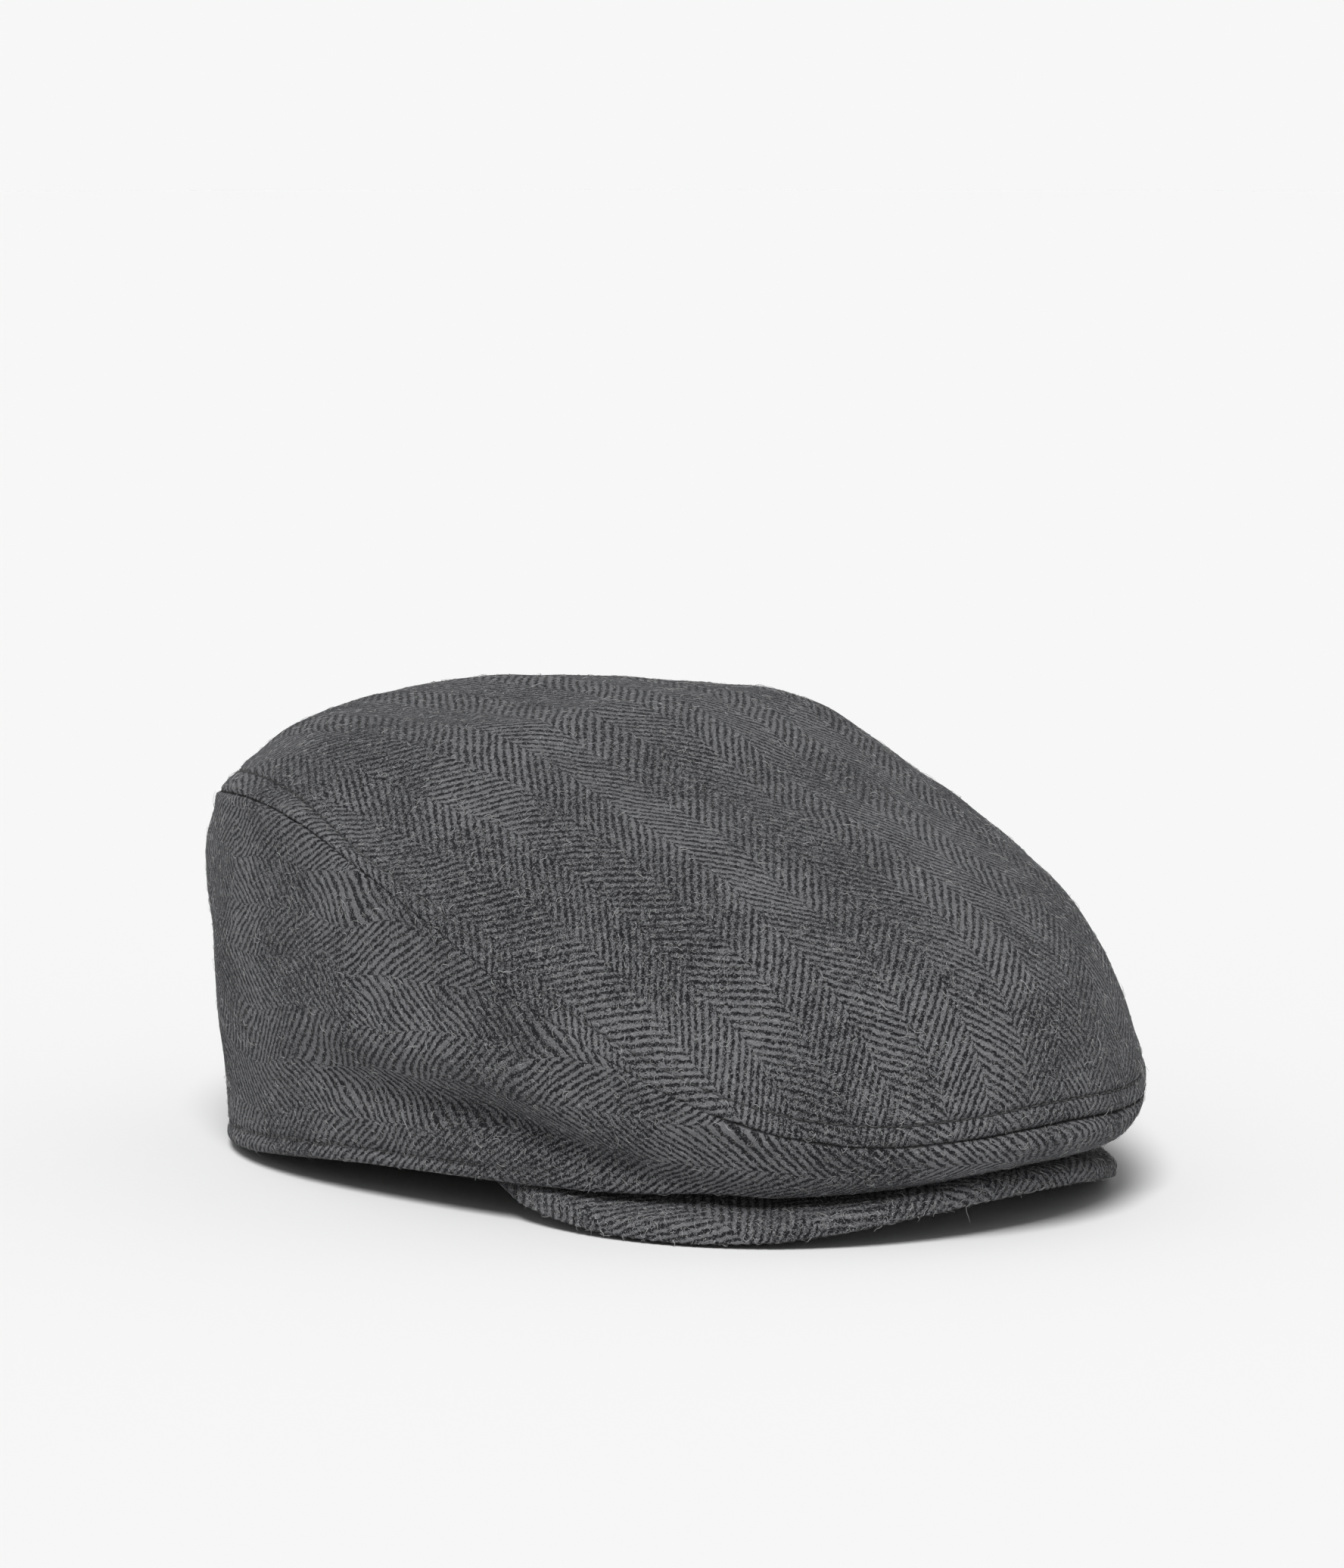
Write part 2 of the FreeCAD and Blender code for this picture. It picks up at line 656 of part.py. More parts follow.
pieces = [
    make_crown_top_panel(),
    make_side_band(),
    make_back_seam_tape(),
    make_front_interlining(),
    make_lining_top(),
    make_lining_side(),
    make_crown_topstitch(),
    make_hem_topstitch(),
    make_sweatband(),
    make_sweatband_stitch(),
    make_size_label(),
    make_visor_board(),
    make_visor_top_cover(),
    make_visor_under_cover(),
    make_visor_rim_stitch(),
]
doc.recompute()

for thing in doc.Objects:
    if "Invalid" in thing.State or "Error" in thing.State:
        raise RuntimeError(f"{thing.Name} failed to build: {thing.State}")

os.makedirs("parts", exist_ok=True)
for piece in pieces:
    shape = piece.Shape
    if shape.isNull() or not shape.isValid() or shape.Volume <= 0:
        raise RuntimeError(f"{piece.Label} has no valid solid")
    shape.exportStep(f"parts/{piece.Label}.step")
    box = shape.BoundBox
    print(f"{piece.Label:20s} solids {len(shape.Solids)}  volume {shape.Volume:9.1f}  "
          f"x {box.XMin:7.2f} {box.XMax:7.2f}  y {box.YMin:7.2f} {box.YMax:7.2f}  z {box.ZMin:7.2f} {box.ZMax:7.2f}")
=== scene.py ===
import math

import bpy
import numpy as np
from mathutils import Matrix, Vector


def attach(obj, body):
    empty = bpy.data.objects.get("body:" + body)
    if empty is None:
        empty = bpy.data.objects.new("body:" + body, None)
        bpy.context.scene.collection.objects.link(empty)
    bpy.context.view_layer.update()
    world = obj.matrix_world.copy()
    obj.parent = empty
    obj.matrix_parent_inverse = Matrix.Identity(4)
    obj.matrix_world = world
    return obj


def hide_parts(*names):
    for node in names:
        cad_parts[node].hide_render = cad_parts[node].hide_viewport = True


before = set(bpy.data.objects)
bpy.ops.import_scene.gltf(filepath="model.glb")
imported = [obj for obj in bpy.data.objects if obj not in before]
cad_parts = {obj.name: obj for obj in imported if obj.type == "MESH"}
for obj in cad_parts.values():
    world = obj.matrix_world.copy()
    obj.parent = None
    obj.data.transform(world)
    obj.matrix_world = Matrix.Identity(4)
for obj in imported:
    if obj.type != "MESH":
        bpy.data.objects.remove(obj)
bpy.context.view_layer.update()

# Flat cap. Shapes are worked out in millimetres, in the frame of the CAD model: +Z up, the visor to
# -Y, the wearer's right at -X. An angle round the cap starts at the front and passes the wearer's
# right, then the back. A distance is measured up the cloth from its lower edge.

MM = 0.001
BODY = "root"

# ---------------- the crown's shape, as in the CAD

# Rings round the cap: height at the front, side and back, reach to the front and back, half width,
# where along Y it is widest, how much its height leans and ripples, and how square it is.
LEVELS = {
    "hem": (14.5, 8.0, 1.2, 133.5, 106.0, 87.0, 4.0, 0.0, 1.0, 0.05),
    "lower": (20.0, 29.0, 25.5, 147.0, 112.0, 94.0, -1.0, 1.6, 3.0, 0.0),
    "belly": (23.5, 62.0, 71.0, 150.0, 114.0, 100.0, 0.0, 3.3, 4.5, 0.0),
    "seam": (27.5, 86.0, 92.5, 149.0, 105.5, 101.5, -10.0, 5.7, 5.0, 0.017),
    "shoulder": (49.0, 96.5, 110.0, 147.0, 81.5, 87.0, -1.0, 1.2, 1.1, 0.0),
    "upper": (95.5, 112.0, 119.0, 75.5, 43.5, 59.0, -8.5, 0.0, 0.8, 0.0),
    "lining_edge": (40.0, 35.0, 30.0, 102.8, 102.8, 84.8, 0.0, 0.0, 0.0, 0.0),
    "lining_waist": (58.0, 60.0, 64.0, 111.0, 107.0, 93.0, 0.0, 3.0, 3.0, 0.0),
    "lining_seam": (71.0, 81.0, 86.0, 110.0, 99.0, 93.0, -2.0, 5.0, 4.0, 0.0),
    "lining_shoulder": (82.0, 90.0, 103.0, 90.0, 76.0, 76.0, -2.0, 1.2, 1.1, 0.0),
    "lining_upper": (93.0, 105.0, 112.0, 66.0, 40.0, 50.0, -6.0, 0.0, 0.8, 0.0),
}
TOP_AT = -16.0  # where along Y the crown and the lining are highest
TOP_HEIGHT = 118.5
LINING_TOP_HEIGHT = 112.0
WOOL = 2.0  # how thick the cloths are
LINING = 0.6
CROWN_INSET = 5.0  # from the crown seam up to the topstitch, at the front and sides
REAR_INSET = 7.5  # the same, at the back
HEM_INSET = 5.0  # from the hem's edge up to its stitches
HEM_STITCHED = (68, 74)  # degrees from the front between which the hem's stitches begin
STITCH_PITCH = 3.3
GROOVE_SHADE_REACH = 1.0  # how far from a seam or a stitched line its painted shade in the groove is gone
SEAM_PRESS, SEAM_HALF = 0.95, 0.65  # depth and half width of the groove at the crown seam
FAINT_AT = 66  # degrees from the front at which the crown seam is faint
BACK_GAP = 0.0016  # half the opening of the back seam, in radians


def level_points(level, angles):
    """Points (n, 3) of a ring at angles (n)."""
    front, side, back, front_reach, back_reach, half_width, *others = LEVELS[level]
    widest, lean, ripple, squareness = others
    ahead, across = np.cos(angles), np.sin(angles)
    fullness = 1 + squareness * np.sin(2 * angles) ** 2
    reach = np.where(ahead > 0, widest + front_reach, back_reach - widest)
    height = (front + back) / 4 + side / 2 + (front - back) / 2 * ahead
    height = height + ((front + back) / 4 - side / 2) * (2 * ahead ** 2 - 1)
    height = height + lean * (np.cos(3 * angles) - ahead) + ripple * (np.cos(4 * angles) - 1)
    return np.stack([-half_width * across * fullness, (widest - reach * ahead) * fullness, height], -1)


class Curves:
    """Natural cubic curves through points (n, knots, 3), one curve for each of n angles."""

    def __init__(self, points):
        self.points = points
        self.spans = np.linalg.norm(np.diff(points, axis=1), axis=2)
        count, knots = points.shape[:2]
        slopes = np.diff(points, axis=1) / self.spans[..., None]
        matrix, change = np.zeros((count, knots, knots)), np.zeros_like(points)
        matrix[:, 0, 0] = matrix[:, -1, -1] = 1
        for i in range(1, knots - 1):
            matrix[:, i, i - 1] = self.spans[:, i - 1]
            matrix[:, i, i] = 2 * (self.spans[:, i - 1] + self.spans[:, i])
            matrix[:, i, i + 1] = self.spans[:, i]
            change[:, i] = 6 * (slopes[:, i] - slopes[:, i - 1])
        self.bends = np.linalg.solve(matrix, change)
        self.starts = np.concatenate([np.zeros((count, 1)), np.cumsum(self.spans, axis=1)], axis=1)

    def at(self, distances):
        """Points (n, m, 3) at distances (n, m) along the curves."""
        i = (distances[..., None] > self.starts[:, None, 1:-1]).sum(-1)
        row = np.arange(len(distances))[:, None]
        span = self.spans[row, i]
        far = (distances - self.starts[row, i]) / span
        near = 1 - far
        point = self.points[row, i] * near[..., None] + self.points[row, i + 1] * far[..., None]
        point = point + self.bends[row, i] * ((near ** 3 - near) * span ** 2 / 6)[..., None]
        return point + self.bends[row, i + 1] * ((far ** 3 - far) * span ** 2 / 6)[..., None]


def unit(vectors):
    return vectors / np.maximum(np.linalg.norm(vectors, axis=-1, keepdims=True), 1e-9)


class Skin:
    """A face of the cap made of curves that rise from its edge. A dome's curves run on over the top."""

    def __init__(self, levels, top_height=None):
        self.levels, self.top_height = levels, top_height

    def curves(self, angles):
        near = [level_points(level, angles) for level in self.levels]
        if self.top_height is None:
            return Curves(np.stack(near, 1))
        top = np.tile([0.0, TOP_AT, self.top_height], (len(angles), 1))
        far = [level_points(level, angles + math.pi) for level in reversed(self.levels)]
        return Curves(np.stack(near + [top] + far, 1))

    def lengths(self, angles):
        """How long each curve is, from the edge to the other edge or to the top."""
        spans = self.curves(angles).spans
        return spans.sum(1) if self.top_height is None else spans[:, :spans.shape[1] // 2].sum(1)

    def points(self, angles, distances):
        return self.curves(angles).at(distances)

    def normals(self, angles, distances):
        """The way out at each point, from the points a small turn and a small climb away."""
        turn, climb = 0.01, 0.3
        share = distances / self.lengths(angles)[:, None]
        sides = []
        for near in (angles - turn, angles + turn):
            sides.append(self.points(near, share * self.lengths(near)[:, None]))
        rise = self.points(angles, distances + climb) - self.points(angles, distances - climb)
        around = sides[1] - sides[0]
        normals = np.cross(rise, around)
        flat = np.linalg.norm(around, axis=-1) < 1e-3
        normals[flat] = (0, 0, 1)
        return unit(normals)


SIDE = Skin(("hem", "lower", "belly", "seam"))
CROWN = Skin(("seam", "shoulder", "upper"), TOP_HEIGHT)
LINING_SIDE = Skin(("lining_edge", "lining_waist", "lining_seam"))
LINING_CROWN = Skin(("lining_seam", "lining_shoulder", "lining_upper"), LINING_TOP_HEIGHT)


# ---------------- folds, channels and puckers

def bump(values, middle, half_width):
    """1 at the middle, falling smoothly to about a third at half_width and to 0 beyond."""
    return np.exp(-((values - middle) / half_width) ** 2)


def drift(points, wavelength, seed):
    """Smooth random numbers, about -1 to 1, that change over a wavelength in millimetres."""
    rng = np.random.default_rng(seed)
    waves = 12
    total = np.zeros(points.shape[:-1])
    for _ in range(waves):
        direction = unit(rng.normal(size=3))
        length = wavelength * rng.uniform(0.7, 1.5)
        total += np.sin(points @ direction * (2 * math.pi / length) + rng.uniform(0, 2 * math.pi))
    return total / math.sqrt(waves)


def fade(values, start, end):
    """0 before start, 1 after end, smooth between."""
    share = np.clip((values - start) / (end - start), 0, 1)
    return share * share * (3 - 2 * share)


def wrapped(angles):
    """Angles in degrees from -180 to 180."""
    return np.degrees((angles + math.pi) % (2 * math.pi) - math.pi)


def run_along(points):
    """How far along its row each point lies, in millimetres. points is (n, m, 3), rows run over n."""
    steps = np.linalg.norm(np.diff(points, axis=0), axis=-1)
    return np.concatenate([np.zeros((1, points.shape[1])), np.cumsum(steps, axis=0)])


def crown_inset(angles):
    """How far above the crown seam the topstitch runs."""
    return CROWN_INSET + (REAR_INSET - CROWN_INSET) * fade(np.abs(wrapped(angles)), 70, 120)[:, None]


def seam_depth(angles):
    """How deep the crown seam is pressed in, as a share. It is shallow halfway along each side."""
    return (1.0 - 0.6 * bump(np.abs(wrapped(angles)), FAINT_AT, 16))[:, None]


def seam_shade_faintness(angles):
    """What is added to the painted-shade distances near the crown seam, to hide its painted shade
    halfway along, where the seam's groove is shallow.
    """
    return 1.6 * bump(np.abs(wrapped(angles)), FAINT_AT, 14)[:, None]


def puckers(points, pitch):
    """A wave along each row, one crest to a stitch."""
    return np.cos(run_along(points) * (2 * math.pi / pitch))


def crown_relief(angles, distances, points):
    """How far the top panel's face stands off its plain shape."""
    inset, depth = crown_inset(angles), seam_depth(angles)
    pucker = puckers(points, STITCH_PITCH)
    # The groove at the seam, the swell beyond it, the groove of the topstitch and the swell above that.
    relief = -SEAM_PRESS * depth * bump(distances, 0, SEAM_HALF)
    relief += 0.3 * depth * bump(distances, inset / 2, 1.5)
    relief -= (0.5 + 0.15 * pucker) * depth * bump(distances, inset, 0.6)
    relief += 0.22 * depth * bump(distances, inset + 3.0, 2.4)
    # Creases near the seam, then the long and the short unevenness of the open cloth.
    relief += 0.34 * drift(points, 14, seed=3) * bump(distances, 3, 6)
    relief += 0.8 * drift(points, 58, seed=5) * fade(distances, 4, 26)
    relief += 0.2 * drift(points, 17, seed=7) * fade(distances, 6, 20)
    return relief


def crown_groove_shade(angles, distances):
    """How far each place is from the crown seam or the topstitch, whichever is nearer, 0 to 1. The wool
    is painted dark near 0: painted shade in their grooves.
    """
    off = np.minimum(distances, np.abs(distances - crown_inset(angles)))
    return np.clip(off / GROOVE_SHADE_REACH + seam_shade_faintness(angles), 0, 1)


# The fold over the visor's end, at degrees from the front: how far above the hem it lies, and how deep.
FOLD_ANGLES = (40, 48, 56.5, 62.5, 68.5, 80.5, 92, 104)
FOLD_HEIGHTS = (0, 4, 8.2, 12.2, 16.6, 20.8, 23.8, 26)
FOLD_DEPTHS = (0, 1.8, 3.4, 4.5, 4.9, 4.3, 2.5, 0)


def fold(degrees, distances, depth):
    """The fold's valley, steeper below than above, and the ridge over it."""
    middle = np.interp(degrees, FOLD_ANGLES, FOLD_HEIGHTS)[:, None]
    deep = depth * np.interp(degrees, FOLD_ANGLES, FOLD_DEPTHS, left=0, right=0)[:, None]
    off = distances - middle
    valley = np.where(off < 0, bump(off, 0, 4.4), bump(off, 0, 7.0))
    return -deep * valley + 0.5 * deep * bump(off, 16, 8)


def hem_stitched(degrees):
    """1 where the hem is stitched, which is everywhere but over the visor."""
    return fade(np.abs(degrees), *HEM_STITCHED)[:, None]


def side_relief(angles, distances, points):
    """How far the side band's face stands off its plain shape."""
    degrees = wrapped(angles)
    below_seam = SIDE.lengths(angles)[:, None] - distances
    pucker = puckers(points, STITCH_PITCH)
    # The swell and the groove at the crown seam.
    relief = seam_depth(angles) * (0.2 * bump(below_seam, 3, 2.0)
                                   - SEAM_PRESS * bump(below_seam, 0, SEAM_HALF))
    # The hem's rolled edge, the groove of its stitches and the swell between the two.
    roll = np.clip(1 - distances / 2.0, 0, 1)
    relief -= 1.5 * (1 - np.sqrt(1 - roll ** 2 * 0.98))
    relief -= hem_stitched(degrees) * (0.6 + 0.1 * pucker) * bump(distances, HEM_INSET, 1.1)
    relief += 0.3 * bump(distances, 2.4, 1.5)
    # The fold on the wearer's right, and a shallower one further back on the left.
    relief += fold(degrees, distances, 1.0) + fold(-degrees - 5, distances * 1.1, 0.75)
    # Long and short unevenness, creases below the crown seam, and the groove of the back seam.
    loose = fade(distances, 6, 22) * fade(below_seam, 2, 16)
    relief += (0.9 * drift(points, 52, seed=11) + 0.2 * drift(points, 19, seed=13)) * loose
    relief += 0.22 * drift(points, 13, seed=17) * bump(below_seam, 2, 5)
    relief -= 1.2 * bump(np.abs(degrees), 180, 1.1)[:, None]
    return relief


def side_groove_shade(angles, distances):
    """How far each place is from a seam or the hem stitch, whichever is nearer, 0 to 1. The wool is
    painted dark near 0: painted shade in their grooves.
    """
    degrees, back_reach = wrapped(angles), 105
    seam = (SIDE.lengths(angles)[:, None] - distances) / GROOVE_SHADE_REACH + seam_shade_faintness(angles)
    hem = np.abs(distances - HEM_INSET) / GROOVE_SHADE_REACH + 0.35 + (1 - hem_stitched(degrees))
    back = ((180 - np.abs(degrees)) * math.radians(back_reach))[:, None] / GROOVE_SHADE_REACH
    return np.clip(np.minimum(np.minimum(seam, hem), back), 0, 1)


def gathers(angles, distances):
    """Small gathers beside a sewn edge, which die away over a few millimetres."""
    return np.cos(46 * angles)[:, None] * np.exp(-distances / 9)


def lining_relief(angles, distances, points):
    """The lining's top is gathered at its seam and a little uneven above it."""
    return 0.35 * gathers(angles, distances) + 0.3 * drift(points, 30, seed=19) * fade(distances, 2, 14)


def lining_side_relief(angles, distances, _):
    """The lining's side is gathered at both edges."""
    top = LINING_SIDE.lengths(angles)[:, None] - distances
    return 0.3 * (gathers(angles, top) + gathers(angles, distances))


def seam_normals(angles):
    """The way out at the crown seam, halfway between the side's and the top's."""
    below = SIDE.normals(angles, SIDE.lengths(angles)[:, None] - 0.4)
    return unit(below + CROWN.normals(angles, np.full((len(angles), 1), 0.4)))


def leaning(skin, angles, distances):
    """A skin's normals, which lean to those of the crown seam near it, so that its two edges meet."""
    normals = skin.normals(angles, distances)
    if skin not in (SIDE, CROWN):
        return normals
    away = distances if skin is CROWN else SIDE.lengths(angles)[:, None] - distances
    near = bump(away, 0, 2.5)[..., None]
    return unit(normals * (1 - near) + seam_normals(angles) * near)


def faced(skin, angles, distances, relief, offset=0.0):
    """Points on a skin with its relief, and the normals of the plain shape under them."""
    points, normals = skin.points(angles, distances), leaning(skin, angles, distances)
    height = offset + (relief(angles, distances, points) if relief else 0)
    return points + normals * np.broadcast_to(height, distances.shape)[..., None], normals


# ---------------- meshes

def enclosed(vertices, faces):
    """Six times the volume inside a closed mesh, whose faces are split into fans."""
    total = 0.0
    for size in {len(face) for face in faces}:
        corners = vertices[np.array([face for face in faces if len(face) == size])]
        for i in range(1, size - 1):
            total += (corners[:, 0] * np.cross(corners[:, i], corners[:, i + 1])).sum()
    return total


def finished(name, vertices, faces, material, slot, cloth=None, stands_in=True):
    """A piece from millimetre vertices. cloth holds what on_cloth says of each vertex."""
    if enclosed(vertices, faces) < 0:
        faces = [face[::-1] for face in faces]
    mesh = bpy.data.meshes.new(name)
    mesh.from_pydata((vertices * MM).tolist(), [], faces)
    if cloth is not None:
        held = mesh.attributes.new("cloth", "FLOAT_VECTOR", "POINT")
        held.data.foreach_set("vector", np.ascontiguousarray(cloth, np.float32).ravel())
    mesh.materials.append(material)
    mesh.shade_smooth()
    piece = bpy.data.objects.new(f"{name}_{'thread' if slot == 'thread' else 'cloth'}", mesh)
    bpy.context.scene.collection.objects.link(piece)
    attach(piece, BODY)
    if stands_in:
        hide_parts(name)


def grid_faces(grid):
    """Quads over a grid of vertex numbers, as triangles where a side has shrunk to a point."""
    quads = np.stack([grid[:-1, :-1], grid[1:, :-1], grid[1:, 1:], grid[:-1, 1:]], -1).reshape(-1, 4)
    faces = []
    for quad in quads.tolist():
        face = [v for i, v in enumerate(quad) if v != quad[i - 1]]
        if len(face) > 2:
            faces.append(face)
    return faces


def joined_grids(first, second):
    """Two grids with as many columns, joined end to end, and the number of each of their vertices."""
    joined = np.concatenate([first, second], axis=1)
    return joined, np.arange(joined.shape[0] * joined.shape[1]).reshape(joined.shape[:2])


def shell(name, outer, inner, cloth, material, slot):
    """A closed piece of cloth between two grids with as many columns. cloth is (outer's, inner's)."""
    points, index = joined_grids(outer, inner[:, ::-1])
    places, _ = joined_grids(cloth[0], cloth[1][:, ::-1])
    faces = grid_faces(np.concatenate([index, index[:, :1]], axis=1))
    for ring, order in ((index[0].tolist(), 1), (index[-1].tolist(), -1)):
        for j in range(outer.shape[1] - 1):
            faces.append([ring[j], ring[j + 1], ring[-2 - j], ring[-1 - j]][::order])
    finished(name, points.reshape(-1, 3), faces, material, slot, places.reshape(-1, 3))


def dome(name, outer, inner, cloth, material, slot):
    """A closed dome of cloth. Both grids run from the edge to the top."""
    points, index = joined_grids(outer[:, ::-1], inner)
    places, _ = joined_grids(cloth[0][:, ::-1], cloth[1])
    for pole in (0, -1):
        index[:, pole] = index[0, pole]
    used, again = np.unique(index, return_inverse=True)
    again = again.reshape(index.shape)
    faces = grid_faces(np.concatenate([again, again[:1]]))
    points, places = points.reshape(-1, 3)[used], places.reshape(-1, 3)[used]
    finished(name, points, faces, material, slot, places)


def round_angles(count):
    """Angles all the way round, for a piece with no seam across it."""
    return np.linspace(-math.pi, math.pi, count, endpoint=False)


def row_places(lengths, fine_to, fine_rows, rows):
    """Distances in even steps up to fine_to, then in widening steps up to each length."""
    fine_to = np.broadcast_to(fine_to, len(lengths))[:, None]
    share = np.linspace(0, 1, rows + 1)[1:]
    share = 0.35 * share + 0.65 * share ** 1.3
    rest = fine_to + (lengths[:, None] - fine_to) * share
    return np.concatenate([fine_to * np.linspace(0, 1, fine_rows), rest], axis=1)


def on_cloth(across, along, line):
    """Places across and along the flat cloth, and how far each is from a stitched line, 0 to 1, which
    sets where painted shade darkens the grooves.
    """
    return np.stack(np.broadcast_arrays(across, along, line), -1)


def dome_cloth(skin, angles, distances, points, line):
    """Where a dome's points lie on the flat cloth: as far from the top, and in the same direction."""
    away = points[..., :2] - (0.0, TOP_AT)
    reach = skin.lengths(angles)[:, None] - distances
    flat = unit(away) * reach[..., None]
    return on_cloth(flat[..., 0], flat[..., 1], line)


def close_top(*grids):
    """Brings the last point of every column to one place, the top of the dome."""
    for grid in grids:
        grid[:, -1] = grid[:, -1].mean(0)


def make_crown_panel(material):
    """The top panel, with fine rows at its seam and topstitch. Returns its outer face."""
    angles, edge = round_angles(720), 2.2
    lengths = CROWN.lengths(angles)
    distances = row_places(lengths, 2 * crown_inset(angles)[:, 0], 31, 66)
    outer, _ = faced(CROWN, angles, distances, crown_relief)
    coarse = np.linspace(0, 1, 24)[None] * (lengths[:, None] - edge) + edge
    inner, _ = faced(CROWN, angles, coarse, None, -WOOL - 0.9 * bump(coarse, edge, 3))
    close_top(outer, inner)
    cloth = (dome_cloth(CROWN, angles, distances, outer, crown_groove_shade(angles, distances)),
             dome_cloth(CROWN, angles, coarse, inner, 1.0))
    dome("crown_top_panel", outer, inner, cloth, material, "wool")
    return outer


def side_rows(lengths):
    """Distances up the side band, close together at the hem and below the crown seam."""
    low = np.linspace(0, 2 * HEM_INSET, 25)
    high = lengths - 4.0 * np.linspace(1, 0, 11)
    middle = low[-1] + (high[:, :1] - low[-1]) * np.linspace(0, 1, 40)[1:-1]
    return np.concatenate([np.broadcast_to(low, (len(lengths), len(low))), middle, high], axis=1)


def make_side_band(material):
    """The side band, with its hem turned in but over the visor. Returns its outer face."""
    angles = np.linspace(BACK_GAP - math.pi, math.pi - BACK_GAP, 651)
    distances = side_rows(SIDE.lengths(angles)[:, None])
    outer, normals = faced(SIDE, angles, distances, side_relief)
    facing = 1.6 * hem_stitched(wrapped(angles)) * (1 - fade(distances, 7.5, 9.0))
    thick = WOOL + facing * (1 - 0.6 * bump(distances, 0, 1.2))
    inner = outer - normals * thick[..., None]
    middle_row = 40
    length = run_along(SIDE.points(angles, distances))[:, middle_row:middle_row + 1]
    cloth = [on_cloth(distances, length, side_groove_shade(angles, distances))] * 2
    shell("side_band", outer, inner, cloth, material, "wool")
    return outer


# ---------------- visor

# A crescent between two arcs of radius RIM and ROOT, DEPTH deep in the middle, bent down to both sides
# over a cylinder of radius BEND and tipped by VISOR_TILT about the middle of its rim.
VISOR_FRONT, VISOR_HEIGHT, VISOR_TILT = 141.5, 10.8, math.radians(4.9)
BEND, RIM, ROOT, DEPTH = 245.0, 82.0, 80.0, 39.0
HALF_THICK = 2.7
RIM_SEAM = math.radians(-68)  # how far under the edge the two covers meet, turning from straight out
RIM_PITCH = 2.6
WAVE_ANGLES = (0, 12, 24, 36, 48, 60, 72, 84, 96, 108)
WAVE_HEIGHTS = (1.0, 0.8, 0.0, -1.1, -1.6, -0.9, 0.0, 0.9, 1.5, 1.7)


def visor_tips():
    """The swing of the rim arc and of the root arc from the front to the visor's tips."""
    apart = DEPTH + ROOT - RIM
    meet = (RIM ** 2 - ROOT ** 2 - apart ** 2) / (2 * apart)
    width = math.sqrt(ROOT ** 2 - meet ** 2)
    return math.atan2(width, -(meet + apart)), math.atan2(width, -meet)


def visor_wave(swings):
    """How much higher the soft rim rides than a plain bend, round from the front to the tips."""
    return np.interp(np.abs(np.degrees(swings)), WAVE_ANGLES, WAVE_HEIGHTS)


def visor_points(swings, inward, height, clip=True):
    """Points of the visor at swings (n) along its rim, so far inward from it and so high (n, m)."""
    rim_swing, root_swing = visor_tips()
    rim = np.stack([RIM * np.sin(swings), RIM - RIM * np.cos(swings)], -1)
    turn = swings * root_swing / rim_swing
    root = np.stack([ROOT * np.sin(turn), DEPTH + ROOT - ROOT * np.cos(turn)], -1)
    across = root - rim
    width = np.linalg.norm(across, axis=-1)
    share = inward / np.maximum(width, 1e-6)[:, None]
    share = np.clip(share, 0, 1) if clip else share
    plan = rim[:, None] + across[:, None] * share[..., None]
    low = BEND - np.sqrt(BEND ** 2 - plan[..., 0] ** 2) - visor_wave(swings)[:, None]
    local = np.stack([plan[..., 0], plan[..., 1], height - low], -1)
    turned = local.copy()
    turned[..., 1] = local[..., 1] * math.cos(VISOR_TILT) - local[..., 2] * math.sin(VISOR_TILT)
    turned[..., 2] = local[..., 1] * math.sin(VISOR_TILT) + local[..., 2] * math.cos(VISOR_TILT)
    return turned + (0, -VISOR_FRONT, VISOR_HEIGHT)


def visor_width(swings):
    """How far it is from the rim to the root."""
    rim_swing, root_swing = visor_tips()
    turn = swings * root_swing / rim_swing
    x = RIM * np.sin(swings) - ROOT * np.sin(turn)
    y = RIM - RIM * np.cos(swings) - (DEPTH + ROOT - ROOT * np.cos(turn))
    return np.hypot(x, y)


def visor_profile(swings, turns, flat_rows, side):
    """inward and height (n, m) of a cover's outside, from the rim seam over the edge to the root."""
    width = visor_width(swings)[:, None]
    radius = np.minimum(HALF_THICK, width / 2)
    arc_in, arc_up = radius * (1 - np.cos(turns)), radius * np.sin(turns)
    share = np.linspace(0, 1, flat_rows + 1)[1:] ** 1.4
    flat_in = radius + (width - radius) * share
    puff = (1.0 if side > 0 else 0.25) * np.sin(np.minimum(flat_in / 30, 1) * math.pi / 2) * side
    flat_up = np.broadcast_to(radius * side, flat_in.shape) + puff * np.minimum(width / 20, 1)
    return np.concatenate([arc_in, flat_in], axis=1), np.concatenate([arc_up, flat_up], axis=1)


def grid_normals(points, toward):
    """Unit normals of a grid, on the side that the points of toward lie on."""
    normals = unit(np.cross(np.gradient(points, axis=0), np.gradient(points, axis=1)))
    return normals * np.sign((normals * toward).sum(-1, keepdims=True) + 1e-9)


def cover_relief(points, from_seam, side):
    """How far a cover's face stands off its plain shape."""
    pucker = puckers(points, RIM_PITCH)[:, :1]
    # The groove at the seam, the ridge of the turned-in edges and the groove behind it.
    relief = -0.8 * bump(from_seam, 0, 0.55) + (0.3 + 0.1 * pucker) * bump(from_seam, 1.2, 0.7)
    relief = relief - 0.22 * bump(from_seam, 2.4, 0.7)
    uneven = 0.4 * drift(points, 40, 23 + side) + 0.12 * drift(points, 12, seed=29)
    return relief + uneven * fade(from_seam, 1, 8)


